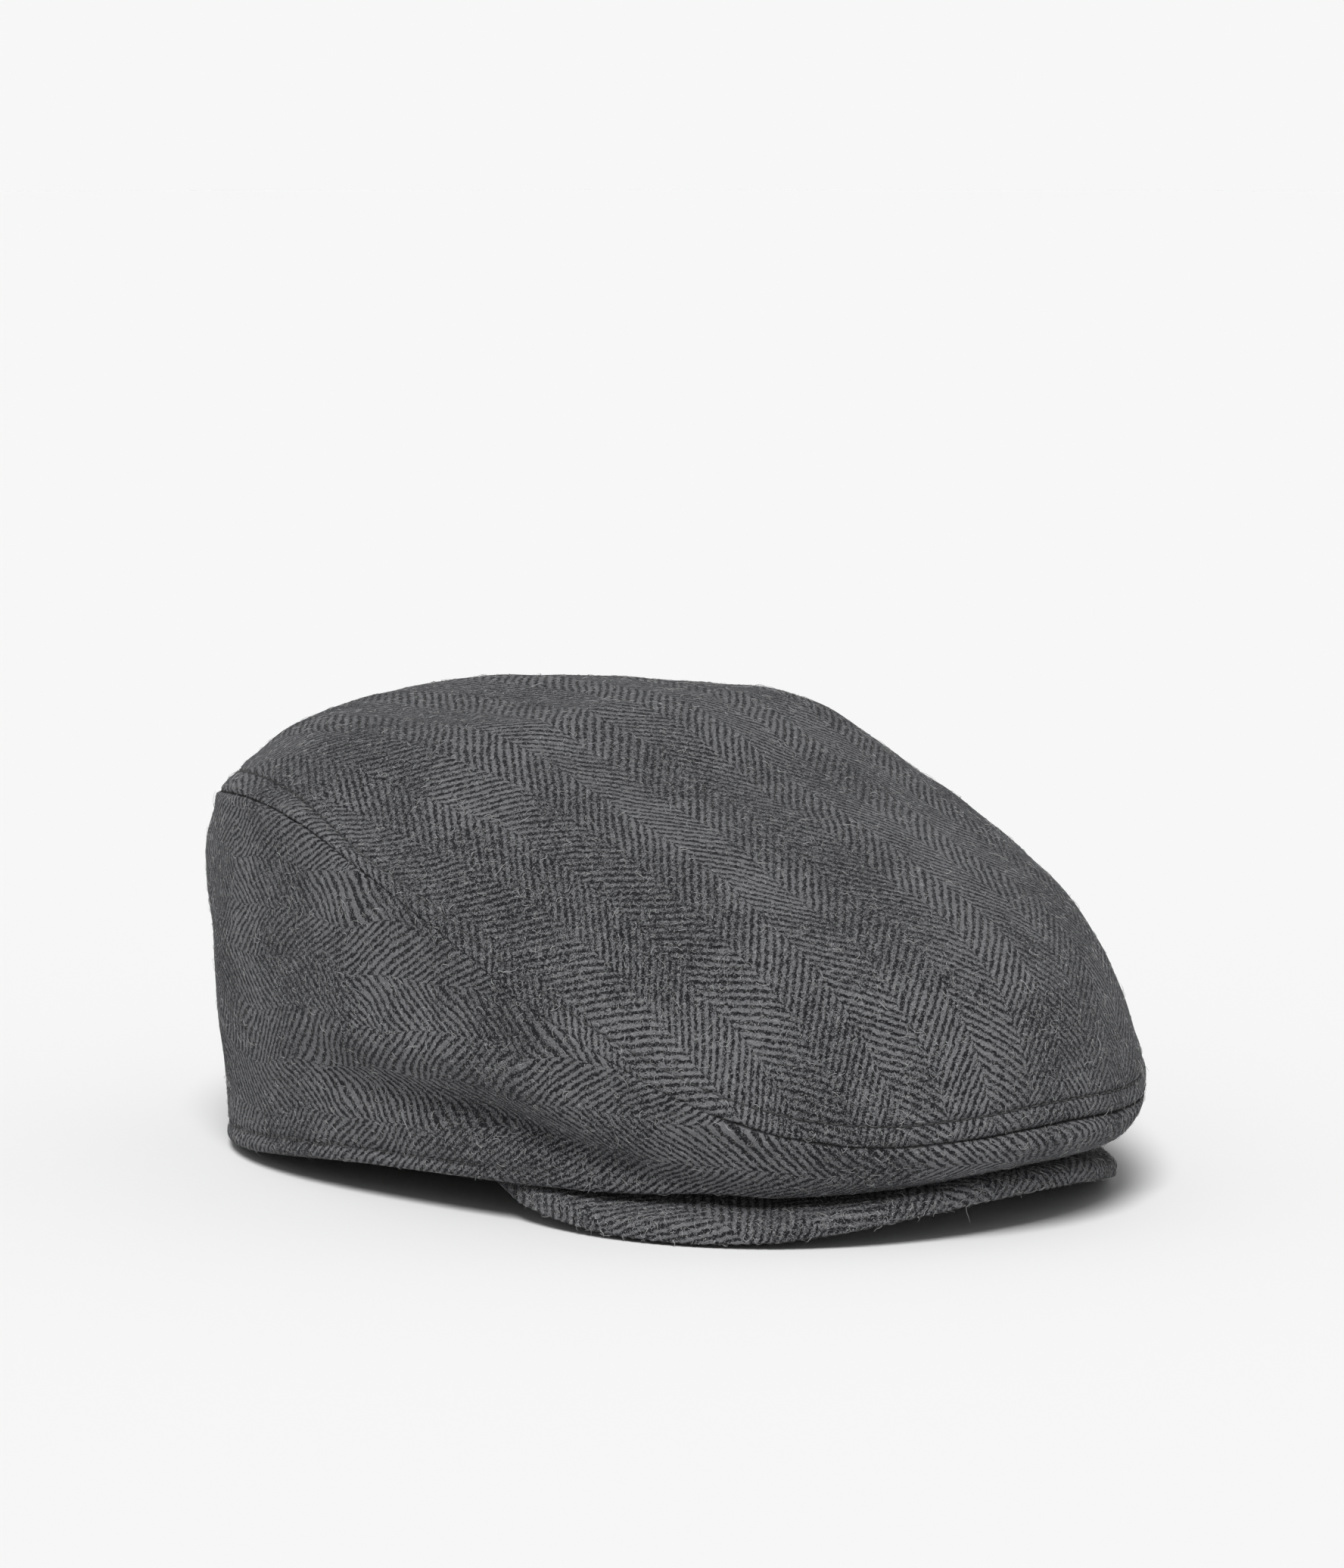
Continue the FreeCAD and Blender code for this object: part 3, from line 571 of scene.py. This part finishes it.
def cover_cloth(swings, turns, inward, from_seam, side):
    """What on_cloth says of a cover's points, unrolled from round the visor's edge."""
    arc = HALF_THICK * (1 - np.abs(turns) * 2 / math.pi * np.sign(turns * side)) * math.pi / 2
    edge = np.broadcast_to(HALF_THICK - arc, (len(swings), len(turns)))
    unrolled = np.concatenate([edge, inward[:, len(turns):]], axis=1)
    flat = visor_points(swings, unrolled, np.zeros_like(unrolled), clip=False)
    # The last value sets painted shade in the groove of the rim seam.
    return on_cloth(flat[..., 0], flat[..., 1], np.clip(from_seam / GROOVE_SHADE_REACH + 0.3, 0, 1))


def make_visor_cover(name, side, material):
    """The cover above the board (side 1) or below it (side -1). Returns its outer face."""
    swings = np.linspace(-1, 1, 521) * visor_tips()[0] * 0.999
    turns = np.linspace(RIM_SEAM, side * math.pi / 2, 26 if side > 0 else 12)
    inward, height = visor_profile(swings, turns, 34, side)
    points = visor_points(swings, inward, height)
    middle = visor_points(swings, np.maximum(inward, HALF_THICK + 1), np.zeros_like(height))
    normals = grid_normals(points, points - middle)
    from_seam = np.linalg.norm(points - points[:, :1], axis=-1)
    width = visor_width(swings)[:, None]
    relief = cover_relief(points, from_seam, side) * np.minimum(width / 6, 1)
    outer = points + normals * relief[..., None]
    inner = outer - normals * (1.5 * np.minimum(width / 8, 1))[..., None]
    cloth = [cover_cloth(swings, turns, inward, from_seam, side)] * 2
    shell(name, outer, inner, cloth, material, "wool")
    return outer


# ---------------- stitches

def tube_faces(count, sections, sides):
    """The faces of closed tubes, whose vertices are numbered tube by tube and ring by ring."""
    index = np.arange(sections * sides).reshape(sections, sides)
    after = np.roll(index, -1, axis=1)
    walls = np.stack([index[:-1], index[1:], after[1:], after[:-1]], -1).reshape(-1, 4)
    caps = np.stack([index[0], index[-1][::-1]])
    starts = np.arange(count)[:, None, None] * sections * sides
    return (walls + starts).reshape(-1, 4).tolist() + (caps + starts).reshape(-1, sides).tolist()


def between_points(places, along, values):
    """Values (n, 3) at places along a line, from its values at the distances along."""
    return np.stack([np.interp(places, along, values[:, axis]) for axis in range(3)], -1)


def stitches(name, line, pitch, length, width, material, depth=0.34):
    """Separate stitches along a line of (points, normals). Each dives into the cloth at both ends."""
    points, normals = line
    sections, sides, flatness, sunk = 7, 6, 0.75, 0.45
    along = np.concatenate([[0], np.cumsum(np.linalg.norm(np.diff(points, axis=0), axis=1))])
    count = int(along[-1] / pitch)
    rng = np.random.default_rng(len(name))
    middles = (np.arange(count) + 0.5) * along[-1] / count + rng.uniform(-0.12, 0.12, count)
    lift = np.sin(np.linspace(0, math.pi, sections)) ** 0.6
    size = width / 2 * (0.55 + 0.45 * lift)
    turns = (np.arange(sides) * (2 * math.pi / sides))[:, None]
    rings = []
    for middle in middles:
        at = middle + np.linspace(-0.5, 0.5, sections) * length
        up = unit(between_points(at, along, normals))
        core = between_points(at, along, points) + up * (lift * depth - depth * sunk)[:, None]
        aside = unit(np.cross(np.gradient(core, axis=0), up))
        ring = np.cos(turns) * aside[:, None] + flatness * np.sin(turns) * up[:, None]
        rings.append(core[:, None] + size[:, None, None] * ring)
    finished(name, np.reshape(rings, (-1, 3)), tube_faces(count, sections, sides), material, "thread")


def stitch_line(skin, angles, distances, relief):
    """The points and normals of a line of stitches on a skin."""
    distances = np.broadcast_to(distances, (len(angles), 1))
    points, normals = faced(skin, angles, distances, relief)
    return points[:, 0], normals[:, 0]


def make_crown_and_hem_stitches(thread):
    angles = np.radians(np.linspace(-179, 179, 1440))
    line = stitch_line(CROWN, angles, crown_inset(angles), crown_relief)
    stitches("crown_topstitch", line, STITCH_PITCH, 2.7, 0.42, thread)
    start = HEM_STITCHED[1]
    angles = np.radians(np.linspace(start, 360 - start, 900))
    line = stitch_line(SIDE, angles, HEM_INSET, side_relief)
    stitches("hem_topstitch", line, STITCH_PITCH, 2.6, 0.42, thread)


def make_rim_stitch(thread):
    """The visor's stitches, just under the seam of its covers."""
    swings = np.linspace(-0.9, 0.9, 700) * visor_tips()[0]
    turn, column = RIM_SEAM - 0.12, np.ones((len(swings), 1))
    inward, height = HALF_THICK * (1 - math.cos(turn)), HALF_THICK * math.sin(turn)
    line = visor_points(swings, column * inward, column * height)[:, 0]
    middle = visor_points(swings, column * HALF_THICK, column * 0.0)[:, 0]
    stitches("visor_rim_stitch", (line, unit(line - middle)), RIM_PITCH, 2.0, 0.4, thread)


# ---------------- inside pieces

SWEATBAND_LOW, SWEATBAND_TILT, SWEATBAND_WIDTH = 8.8, math.radians(-3.0), 32.0
HALF_LENGTH, HALF_WIDTH, SWEATBAND_THICK = 101.0, 83.0, 1.2
SWEATBAND_INSET = 4.0  # from the band's lower edge up to its stitches
UNDER_WOOL = -2.3  # how far a backing's outer face lies from the wool's


def tilted(x, y, rises):
    """Points of the head opening's own frame, tilted up towards the front and lifted to its place."""
    turned_y = y * math.cos(SWEATBAND_TILT) - rises * math.sin(SWEATBAND_TILT)
    turned_z = y * math.sin(SWEATBAND_TILT) + rises * math.cos(SWEATBAND_TILT)
    return np.stack(np.broadcast_arrays(x, turned_y, turned_z + SWEATBAND_LOW), -1)


def on_sweatband(angles, rises, inset):
    """Points on the oval band that stands in the head opening."""
    x = -(HALF_WIDTH - inset) * np.sin(angles)[:, None]
    y = -(HALF_LENGTH - inset) * np.cos(angles)[:, None]
    return tilted(x, y, rises)


def make_sweatband(material):
    """A cotton strip with rounded edges. Its ends meet at the back."""
    angles = np.linspace(-math.pi + 0.004, math.pi - 0.004, 361)
    rises = np.tile(np.linspace(0, SWEATBAND_WIDTH, 33), (len(angles), 1))
    edge = np.minimum(rises, SWEATBAND_WIDTH - rises)
    rounding = 0.45 * (1 - np.sqrt(1 - np.clip(1 - edge / 0.9, 0, 1) ** 2 * 0.98))
    sewn = 0.12 * bump(rises, SWEATBAND_INSET, 0.8)
    wavy = 0.12 * (1 + drift(on_sweatband(angles, rises, 0.0), 34, seed=31)) * fade(rises, 6, 28)
    outer = on_sweatband(angles, rises, rounding)
    inner = on_sweatband(angles, rises, SWEATBAND_THICK - rounding - sewn + wavy)
    cloth = [on_cloth(run_along(outer)[:, :1], rises, 0.0)] * 2
    shell("sweatband", outer, inner, cloth, material, "sweatband")


def make_sweatband_stitch(thread):
    angles = np.radians(np.linspace(-178, 178, 900))
    rises = np.full((len(angles), 1), SWEATBAND_INSET)
    line = on_sweatband(angles, rises, SWEATBAND_THICK - 0.05)[:, 0]
    inside = on_sweatband(angles, rises, 20.0)[:, 0]
    stitches("sweatband_stitch", (line, unit(inside - line)), 3.0, 2.4, 0.4, thread, depth=0.26)


def make_label(material):
    """The blank label: a short woven strip with turned ends, bent to the band at the back."""
    radius, half_width, width, thick, lift = 62.0, 17.0, 16.0, 0.5, 10.0
    angles = np.linspace(-half_width / radius, half_width / radius, 69)
    rises = np.tile(np.linspace(0, width, 33), (len(angles), 1))
    ends = bump(np.abs(angles)[:, None] * radius, 15.6, 0.5)
    ends = ends + bump(rises, 0.9, 0.3) + bump(rises, 15.1, 0.3)
    back = HALF_LENGTH - SWEATBAND_THICK - thick - 0.3 - radius

    def face(reach):
        x, y = reach * np.sin(angles)[:, None], reach * np.cos(angles)[:, None] + back
        return tilted(x, y, rises + lift)

    cloth = [on_cloth(angles[:, None] * radius, rises, 0.0)] * 2
    inner = face(radius - thick + 0.12 * ends)
    shell("size_label", face(radius), inner, cloth, material, "label")


def make_lining_top(material):
    angles = round_angles(460)
    distances = row_places(LINING_CROWN.lengths(angles) - 0.15, 20.0, 14, 34)
    outer, normals = faced(LINING_CROWN, angles, distances, lining_relief)
    inner = outer - normals * LINING
    close_top(outer, inner)
    cloth = [dome_cloth(LINING_CROWN, angles, distances, outer, 0.0)] * 2
    dome("lining_top", outer, inner, cloth, material, "lining")


def make_lining_side(material):
    angles = np.linspace(-math.pi + 0.002, math.pi - 0.002, 461)
    distances = np.linspace(0, 1, 30)[None] * (LINING_SIDE.lengths(angles)[:, None] - 0.3)
    outer, normals = faced(LINING_SIDE, angles, distances, lining_side_relief)
    cloth = [on_cloth(run_along(outer)[:, :1], distances, 0.0)] * 2
    shell("lining_side", outer, outer - normals * LINING, cloth, material, "lining")


def make_backing(name, skin, degrees, low, high, thickness, material, slot):
    """A strip of backing cloth that lies under the wool."""
    angles = np.radians(np.linspace(*degrees, 81))
    distances = np.tile(np.linspace(low, high, 41), (len(angles), 1))
    wave = 0.1 * drift(skin.points(angles, distances), 22, seed=37)
    plain, normals = faced(skin, angles, distances, None, UNDER_WOOL)
    outer = plain + normals * (wave - 0.1)[..., None]
    cloth = [on_cloth(run_along(outer)[:, :1], distances, 0.0)] * 2
    shell(name, outer, outer - normals * thickness, cloth, material, slot)


# ---------------- fuzz

def scattered(rng, face, count):
    """Random places spread evenly over a face: their points, their normals and a way along the face."""
    a, b = np.diff(face[:, :-1], axis=0), np.diff(face[:-1], axis=1)
    area = np.linalg.norm(np.cross(a, b), axis=-1)
    cells = rng.choice(area.size, count, p=(area / area.sum()).ravel())
    i, j = np.unravel_index(cells, area.shape)
    u, v = rng.random((2, count, 1))
    corner, right, up = face[i, j], face[i + 1, j] - face[i, j], face[i, j + 1] - face[i, j]
    return corner + right * u + up * v, unit(np.cross(up, right)), unit(right)


def curling_lines(rng, root, normal, tangent, sections):
    """The line (n, sections, 3) and the thickness (n) of a fibre that curls away from each root."""
    count, floor = len(root), 0.2
    heading, curl = rng.uniform(0, 2 * math.pi, count), rng.normal(0, 0.75, count)
    step, lift = rng.gamma(5, 0.1, count), rng.uniform(0.0, 0.38, count)
    thick = rng.uniform(0.05, 0.1, count)
    other = np.cross(normal, tangent)
    line = [root - normal * 0.1]
    for k in range(sections - 1):
        way = tangent * np.cos(heading)[:, None] + other * np.sin(heading)[:, None]
        rise = lift * math.cos(k * 0.9)
        line.append(line[-1] + (way + normal * rise[:, None]) * step[:, None])
        heading = heading + curl + rng.normal(0, 0.35, count)
    line = np.stack(line, 1)
    line[..., 2] = np.maximum(line[..., 2], floor)
    return line, thick


def fuzz(name, face, count, seed, material):
    """Short curly wool fibres that stand off a face, as closed three-sided threads."""
    rng = np.random.default_rng(seed)
    sections, sides = 5, 3
    root, normal, tangent = scattered(rng, face, count)
    line, thick = curling_lines(rng, root, normal, tangent, sections)
    ahead = unit(np.gradient(line, axis=1))
    first = unit(np.cross(ahead, normal[:, None]))
    second = np.cross(ahead, first)
    size = (thick[:, None] * np.linspace(1.0, 0.4, sections))[..., None]
    turns = np.arange(sides) * (2 * math.pi / sides)
    ring = [line + size * (math.cos(turn) * first + math.sin(turn) * second) for turn in turns]
    vertices = np.stack(ring, 2).reshape(-1, 3)
    finished(name, vertices, tube_faces(count, sections, sides), material, "wool", stands_in=False)


# ---------------- materials

class Graph:
    """A material's node tree, with short calls for the nodes used here."""

    def __init__(self, name):
        self.material = bpy.data.materials.new(name)
        self.material.use_nodes = True
        self.tree = self.material.node_tree
        self.shader = self.tree.nodes["Principled BSDF"]

    def node(self, kind, settings=(), **inputs):
        made = self.tree.nodes.new(kind)
        for key, value in dict(settings).items():
            setattr(made, key, value)
        for key, value in inputs.items():
            socket = int(key[1:]) if key[1:].isdigit() else key.replace("_", " ")
            self.plug(value, made.inputs[socket])
        return made

    def plug(self, value, socket):
        if isinstance(value, bpy.types.NodeSocket):
            self.tree.links.new(value, socket)
        else:
            socket.default_value = value

    def math(self, operation, *values):
        inputs = {f"i{i}": value for i, value in enumerate(values)}
        return self.node("ShaderNodeMath", {"operation": operation}, **inputs).outputs[0]

    def total(self, first, *others):
        for other in others:
            first = self.math("ADD", first, other)
        return first

    def times(self, value, factor):
        return self.math("MULTIPLY", value, factor)

    def swing(self, value, reach):
        """A value from 0 to 1, made to run from -reach / 2 to reach / 2."""
        return self.times(self.math("SUBTRACT", value, 0.5), reach)

    def remap(self, value, low, high, to_low=0.0, to_high=1.0):
        made = self.node("ShaderNodeMapRange", {"interpolation_type": "SMOOTHSTEP"}, Value=value,
                         From_Min=low, From_Max=high, To_Min=to_low, To_Max=to_high)
        return made.outputs[0]

    def cloth(self):
        """What on_cloth says: across, along and the distance from a stitched line, which places painted
        shade.
        """
        held = self.node("ShaderNodeAttribute", {"attribute_name": "cloth"}).outputs["Vector"]
        return self.node("ShaderNodeSeparateXYZ", Vector=held).outputs

    def noise(self, place, scale, detail=2.0, roughness=0.5):
        return self.node("ShaderNodeTexNoise", Vector=place, Scale=scale, Detail=detail,
                         Roughness=roughness).outputs["Fac"]

    def curls(self, place, scale, sharp, soft, spread):
        """Thin wandering lines, in patches: 1 on a line, 0 beside it."""
        line = self.math("ABSOLUTE", self.math("SUBTRACT", self.noise(place, scale, 1.5), 0.5))
        patches = self.remap(self.noise(place, scale * 0.55, 1.0), spread, spread + 0.14)
        return self.math("MULTIPLY", self.remap(line, sharp, soft, 1.0, 0.0), patches)

    def body_place(self):
        """The piece's own coordinates, in millimetres."""
        held = self.node("ShaderNodeTexCoord").outputs["Object"]
        made = self.node("ShaderNodeVectorMath", {"operation": "SCALE"}, Vector=held, Scale=1 / MM)
        return made.outputs[0]

    def mix(self, share, first, second):
        made = self.node("ShaderNodeMix", {"data_type": "RGBA"})
        self.plug(share, made.inputs["Factor"])
        self.plug(first, made.inputs["A"])
        self.plug(second, made.inputs["B"])
        return made.outputs["Result"]

    def finish(self, colour, roughness, height=None, depth=0.0003, **constants):
        self.plug(colour, self.shader.inputs["Base Color"])
        self.plug(roughness, self.shader.inputs["Roughness"])
        for key, value in constants.items():
            self.shader.inputs[key.replace("_", " ")].default_value = value
        if height is not None:
            made = self.node("ShaderNodeBump", Height=height, Distance=depth, Strength=1.0)
            self.tree.links.new(made.outputs[0], self.shader.inputs["Normal"])
        return self.material


def grey(value, blue=1.03):
    """A grey whose blue is so many times its red."""
    return (value, value * 1.003, value * blue, 1.0)


def herringbone(g, across, along, place, column, pitch):
    """Slanting ribs that turn back and shift by half a rib at every column: 1 on a rib, 0 between."""
    number = g.math("FLOOR", g.math("DIVIDE", across, column))
    parity = g.math("MODULO", g.math("ABSOLUTE", number), 2.0)
    zigzag = g.math("PINGPONG", across, column)
    ribs = g.math("DIVIDE", g.math("ADD", along, zigzag), pitch * math.sqrt(2))
    jitter = g.swing(g.noise(place, 0.8, 2.5), 0.85)
    ribs = g.total(ribs, g.times(parity, 0.5), jitter)
    return g.remap(g.math("COSINE", g.times(ribs, 2 * math.pi)), -0.85, 0.45)


def wool_cloth(name, waver, contrast):
    """Herringbone in melange grey, napped in places, with light flecks and curls of loose wool, and
    painted shade along its seams and stitched lines.
    """
    g = Graph(name)
    across, along, line = g.cloth()
    body = g.body_place()
    across = g.math("ADD", across, g.swing(g.noise(body, 0.035, 1.0), waver * 2))
    along = g.math("ADD", along, g.swing(g.noise(body, 0.06, 1.0), waver))
    napped = g.remap(g.noise(body, 0.03, 2.0), 0.38, 0.62, 0.55, 1.0)
    rib = g.times(herringbone(g, across, along, body, column=13.5, pitch=1.95), napped)

    melange = g.noise(body, 1.35, 3.0, 0.75)
    fine = g.noise(body, 3.4, 2.0, 0.65)
    cloudy = g.noise(body, 0.05, 3.0, 0.6)
    flecks = g.remap(g.noise(body, 1.7, 2.0, 0.6), 0.6, 0.7)
    curls = g.curls(body, 0.8, 0.01, 0.035, 0.5)
    wisps = g.curls(body, 1.5, 0.012, 0.05, 0.52)

    tone = g.total(g.times(rib, contrast), g.swing(melange, 3.1), g.swing(fine, 3.2),
                   g.swing(cloudy, 0.5), 0.44 - contrast * 0.5)
    colour = g.mix(g.remap(tone, 0.0, 1.0), grey(0.007, 1.3), grey(0.165, 1.06))
    for share, strength, light in ((flecks, 0.5, 0.34), (curls, 0.5, 0.36), (wisps, 0.35, 0.3)):
        colour = g.mix(g.times(share, strength), colour, grey(light, 1.0))
    # Painted shade: near black in the grooves of seams and stitched lines, fading a little way off
    # them.
    colour = g.mix(g.remap(line, 0.12, 0.5, 0.8, 0.0), colour, grey(0.007, 1.1))
    height = g.total(g.times(rib, 0.75), g.times(melange, 0.8), g.times(fine, 0.5), g.times(curls, 0.4))
    rough = g.remap(melange, 0.3, 0.7, 0.98, 0.84)
    return g.finish(colour, rough, height, 0.0006, Sheen_Weight=0.06, Sheen_Roughness=0.5,
                    Sheen_Tint=(0.85, 0.87, 0.9, 1.0), Specular_IOR_Level=0.2)


def fibre_material():
    """Loose wool, some dark and some light."""
    g = Graph("wool_fibre")
    colour = g.mix(g.noise(g.body_place(), 0.6, 2.0), grey(0.14), grey(0.6, 1.0))
    return g.finish(colour, 0.7, None, Sheen_Weight=0.1)


def thread_material(name, dark, light):
    """Twisted sewing thread."""
    g = Graph(name)
    body = g.body_place()
    twist = g.node("ShaderNodeTexWave", {"bands_direction": "DIAGONAL"}, Vector=body, Scale=1.6,
                   Distortion=1.2).outputs["Fac"]
    colour = g.mix(g.times(g.math("ADD", twist, g.noise(body, 1.5)), 0.5), dark, light)
    return g.finish(colour, g.remap(twist, 0, 1, 0.75, 0.5), twist, 0.00008, Sheen_Weight=0.15)


def woven(name, dark, light, pitch, diagonal, roughness, sheen, depth):
    """Plain or twill cloth: two sets of yarns, with a diagonal where the weave steps along."""
    g = Graph(name)
    across, along, _ = g.cloth()
    turn = 2 * math.pi / pitch
    warp = g.math("SINE", g.times(g.math("ADD", across, g.times(along, diagonal)), turn))
    weft = g.math("SINE", g.times(along, turn))
    yarn = g.math("ADD", g.times(g.math("ADD", warp, weft), 0.25), 0.5)
    stretched = g.node("ShaderNodeCombineXYZ", X=g.times(across, 0.3), Y=g.times(along, 2.0)).outputs[0]
    slub, cloudy = g.noise(stretched, 1.0, 3.0, 0.6), g.noise(g.body_place(), 0.05, 2.0)
    tone = g.total(g.times(yarn, 0.55), g.times(slub, 0.3), g.times(cloudy, 0.2))
    rough = g.remap(tone, 0, 1, roughness + 0.1, roughness - 0.1)
    return g.finish(g.mix(tone, dark, light), rough, tone, depth, Sheen_Weight=sheen,
                    Sheen_Roughness=0.4)


def board_material():
    """Pressed fibre board, grained and blotchy."""
    g = Graph("visor_board_fibre")
    body = g.body_place()
    grain, blotch = g.noise(body, 0.8, 5.0, 0.7), g.noise(body, 0.06, 2.0)
    tone = g.total(g.times(grain, 0.7), g.times(blotch, 0.3))
    colour = g.mix(tone, (0.28, 0.2, 0.13, 1), (0.5, 0.4, 0.29, 1))
    return g.finish(colour, g.remap(grain, 0.3, 0.7, 0.9, 0.7), grain, 0.0002)


# ---------------- floor, light and camera

PALE = 0.93  # how bright the floor and the backdrop show
SKY, SUN_SHARE = 0.36, 0.74  # the light from all round, and the sun's light on level ground
SUN_ANGLE, SUN_TILT, SUN_ASIDE = math.radians(24), math.radians(39), math.radians(-6)
AZIMUTH, ELEVATION = math.radians(-45), math.radians(7.4)
CAMERA_AWAY, LOOK_RIGHT, LOOK_UP = 1500.0, 12.6, 94.5
VIEW_HEIGHT, SENSOR = 403.1128, 36.0  # what the picture spans at the cap, and the sensor's longer side
FLOOR_RADIUS, DOME_RADIUS = 9.0, 8.9  # in metres


def make_floor():
    """A pale floor that reflects as much light as the sky beyond it shows."""
    corners = 96
    mesh = bpy.data.meshes.new("floor")
    turns = np.linspace(0, 2 * math.pi, corners, endpoint=False)
    rim = [(FLOOR_RADIUS * math.cos(turn), FLOOR_RADIUS * math.sin(turn), 0.0) for turn in turns]
    mesh.from_pydata(rim, [], [list(range(corners))])
    g = Graph("floor_paint")
    share = PALE / (SKY + SUN_SHARE)
    g.finish((share, share, share, 1.0), 0.9, None, Specular_IOR_Level=0.0)
    mesh.materials.append(g.material)
    floor = bpy.data.objects.new("floor", mesh)
    bpy.context.scene.collection.objects.link(floor)


def make_backdrop():
    """A pale dome round the floor, as bright as the floor. It shows, but it gives no light."""
    g = Graph("backdrop_paint")
    g.finish((0, 0, 0, 1), 1.0, None, Specular_IOR_Level=0.0, Emission_Strength=1.0,
             Emission_Color=(PALE, PALE, PALE, 1.0))
    bpy.ops.mesh.primitive_uv_sphere_add(segments=64, ring_count=32, radius=DOME_RADIUS)
    dome_wall = bpy.context.object
    dome_wall.name = "backdrop"
    dome_wall.data.materials.append(g.material)
    for ray in ("diffuse", "glossy", "transmission", "shadow"):
        setattr(dome_wall, f"visible_{ray}", False)


def make_light():
    """An even sky and one wide, soft sun above the camera."""
    world = bpy.data.worlds.new("studio")
    world.use_nodes = True
    background = world.node_tree.nodes["Background"]
    background.inputs["Color"].default_value = (SKY, SKY, SKY, 1.0)
    background.inputs["Strength"].default_value = 1.0
    bpy.context.scene.world = world
    bpy.context.scene.view_settings.view_transform = "Standard"
    lamp = bpy.data.lights.new("softbox", "SUN")
    lamp.angle = SUN_ANGLE
    lamp.energy = SUN_SHARE * math.pi / math.cos(SUN_TILT)
    softbox = bpy.data.objects.new("softbox", lamp)
    heading = AZIMUTH + SUN_ASIDE
    toward = Vector((math.sin(SUN_TILT) * math.sin(heading), -math.sin(SUN_TILT) * math.cos(heading),
                     math.cos(SUN_TILT)))
    softbox.rotation_mode = "QUATERNION"
    softbox.rotation_quaternion = toward.to_track_quat("Z", "Y")
    bpy.context.scene.collection.objects.link(softbox)


def make_camera():
    """A long lens at the cap's front right."""
    back = Vector((math.sin(AZIMUTH) * math.cos(ELEVATION), -math.cos(AZIMUTH) * math.cos(ELEVATION),
                   math.sin(ELEVATION)))
    right = Vector((math.cos(AZIMUTH), math.sin(AZIMUTH), 0))
    up = back.cross(right)
    lens = bpy.data.cameras.new("camera")
    lens.sensor_width = SENSOR
    lens.lens = SENSOR * CAMERA_AWAY / VIEW_HEIGHT
    lens.clip_start, lens.clip_end = 0.05, 30.0
    camera = bpy.data.objects.new("camera", lens)
    camera.matrix_world = Matrix((right, up, back)).transposed().to_4x4()
    camera.location = (right * LOOK_RIGHT + up * LOOK_UP + back * CAMERA_AWAY) * MM
    bpy.context.scene.collection.objects.link(camera)
    bpy.context.scene.camera = camera


# ---------------- build

# Each woven cloth's dark and light colour, the pitch of its yarns in millimetres, the slant of its
# twill, its roughness, its sheen and how deep its bumps are in metres.
WOVEN = (
    ("cotton_twill", grey(0.03), grey(0.11), 0.9, 0.6, 0.75, 0.2, 0.00015),
    ("lining_satin", grey(0.02, 1.15), grey(0.06, 1.15), 0.35, 0.2, 0.38, 0.1, 0.00004),
    ("interlining_canvas", (0.42, 0.38, 0.31, 1), (0.72, 0.68, 0.6, 1), 1.0, 0.0, 0.85, 0.1, 0.0002),
    ("cotton_tape", grey(0.02), grey(0.08), 0.8, 1.0, 0.75, 0.1, 0.00012),
    ("label_weave", grey(0.35), grey(0.62), 0.5, 0.0, 0.55, 0.2, 0.00006),
)

wool = wool_cloth("wool_herringbone", waver=2.2, contrast=0.95)
wool_side = wool_cloth("wool_herringbone_side", waver=6.0, contrast=1.2)
thread = thread_material("dark_thread", grey(0.012), grey(0.05))
pale_thread = thread_material("grey_thread", grey(0.05), grey(0.2))
twill, satin, canvas, tape, label = (woven(*cloth) for cloth in WOVEN)

make_camera()
make_light()
make_floor()
make_backdrop()
crown_face = make_crown_panel(wool)
side_face = make_side_band(wool_side)
visor_face = make_visor_cover("visor_top_cover", 1, wool)
make_visor_cover("visor_under_cover", -1, wool)
make_crown_and_hem_stitches(thread)
make_rim_stitch(thread)
make_sweatband(twill)
make_sweatband_stitch(pale_thread)
make_label(label)
make_lining_top(satin)
make_lining_side(satin)
make_backing("front_interlining", CROWN, (-52, 52), 9.0, 62.0, 0.8, canvas, "interlining")
make_backing("back_seam_tape", SIDE, (177.8, 182.2), 8.0, 80.0, 0.6, tape, "tape")
pressed_board = board_material()
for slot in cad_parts["visor_board"].material_slots:
    slot.material = pressed_board

fibre = fibre_material()
fuzz("crown_fuzz", crown_face[:, 2:-1], 7500, 41, fibre)
fuzz("side_fuzz", side_face[:, 1:], 6499, 43, fibre)
fuzz("visor_fuzz", visor_face[20:-20], 2400, 47, fibre)
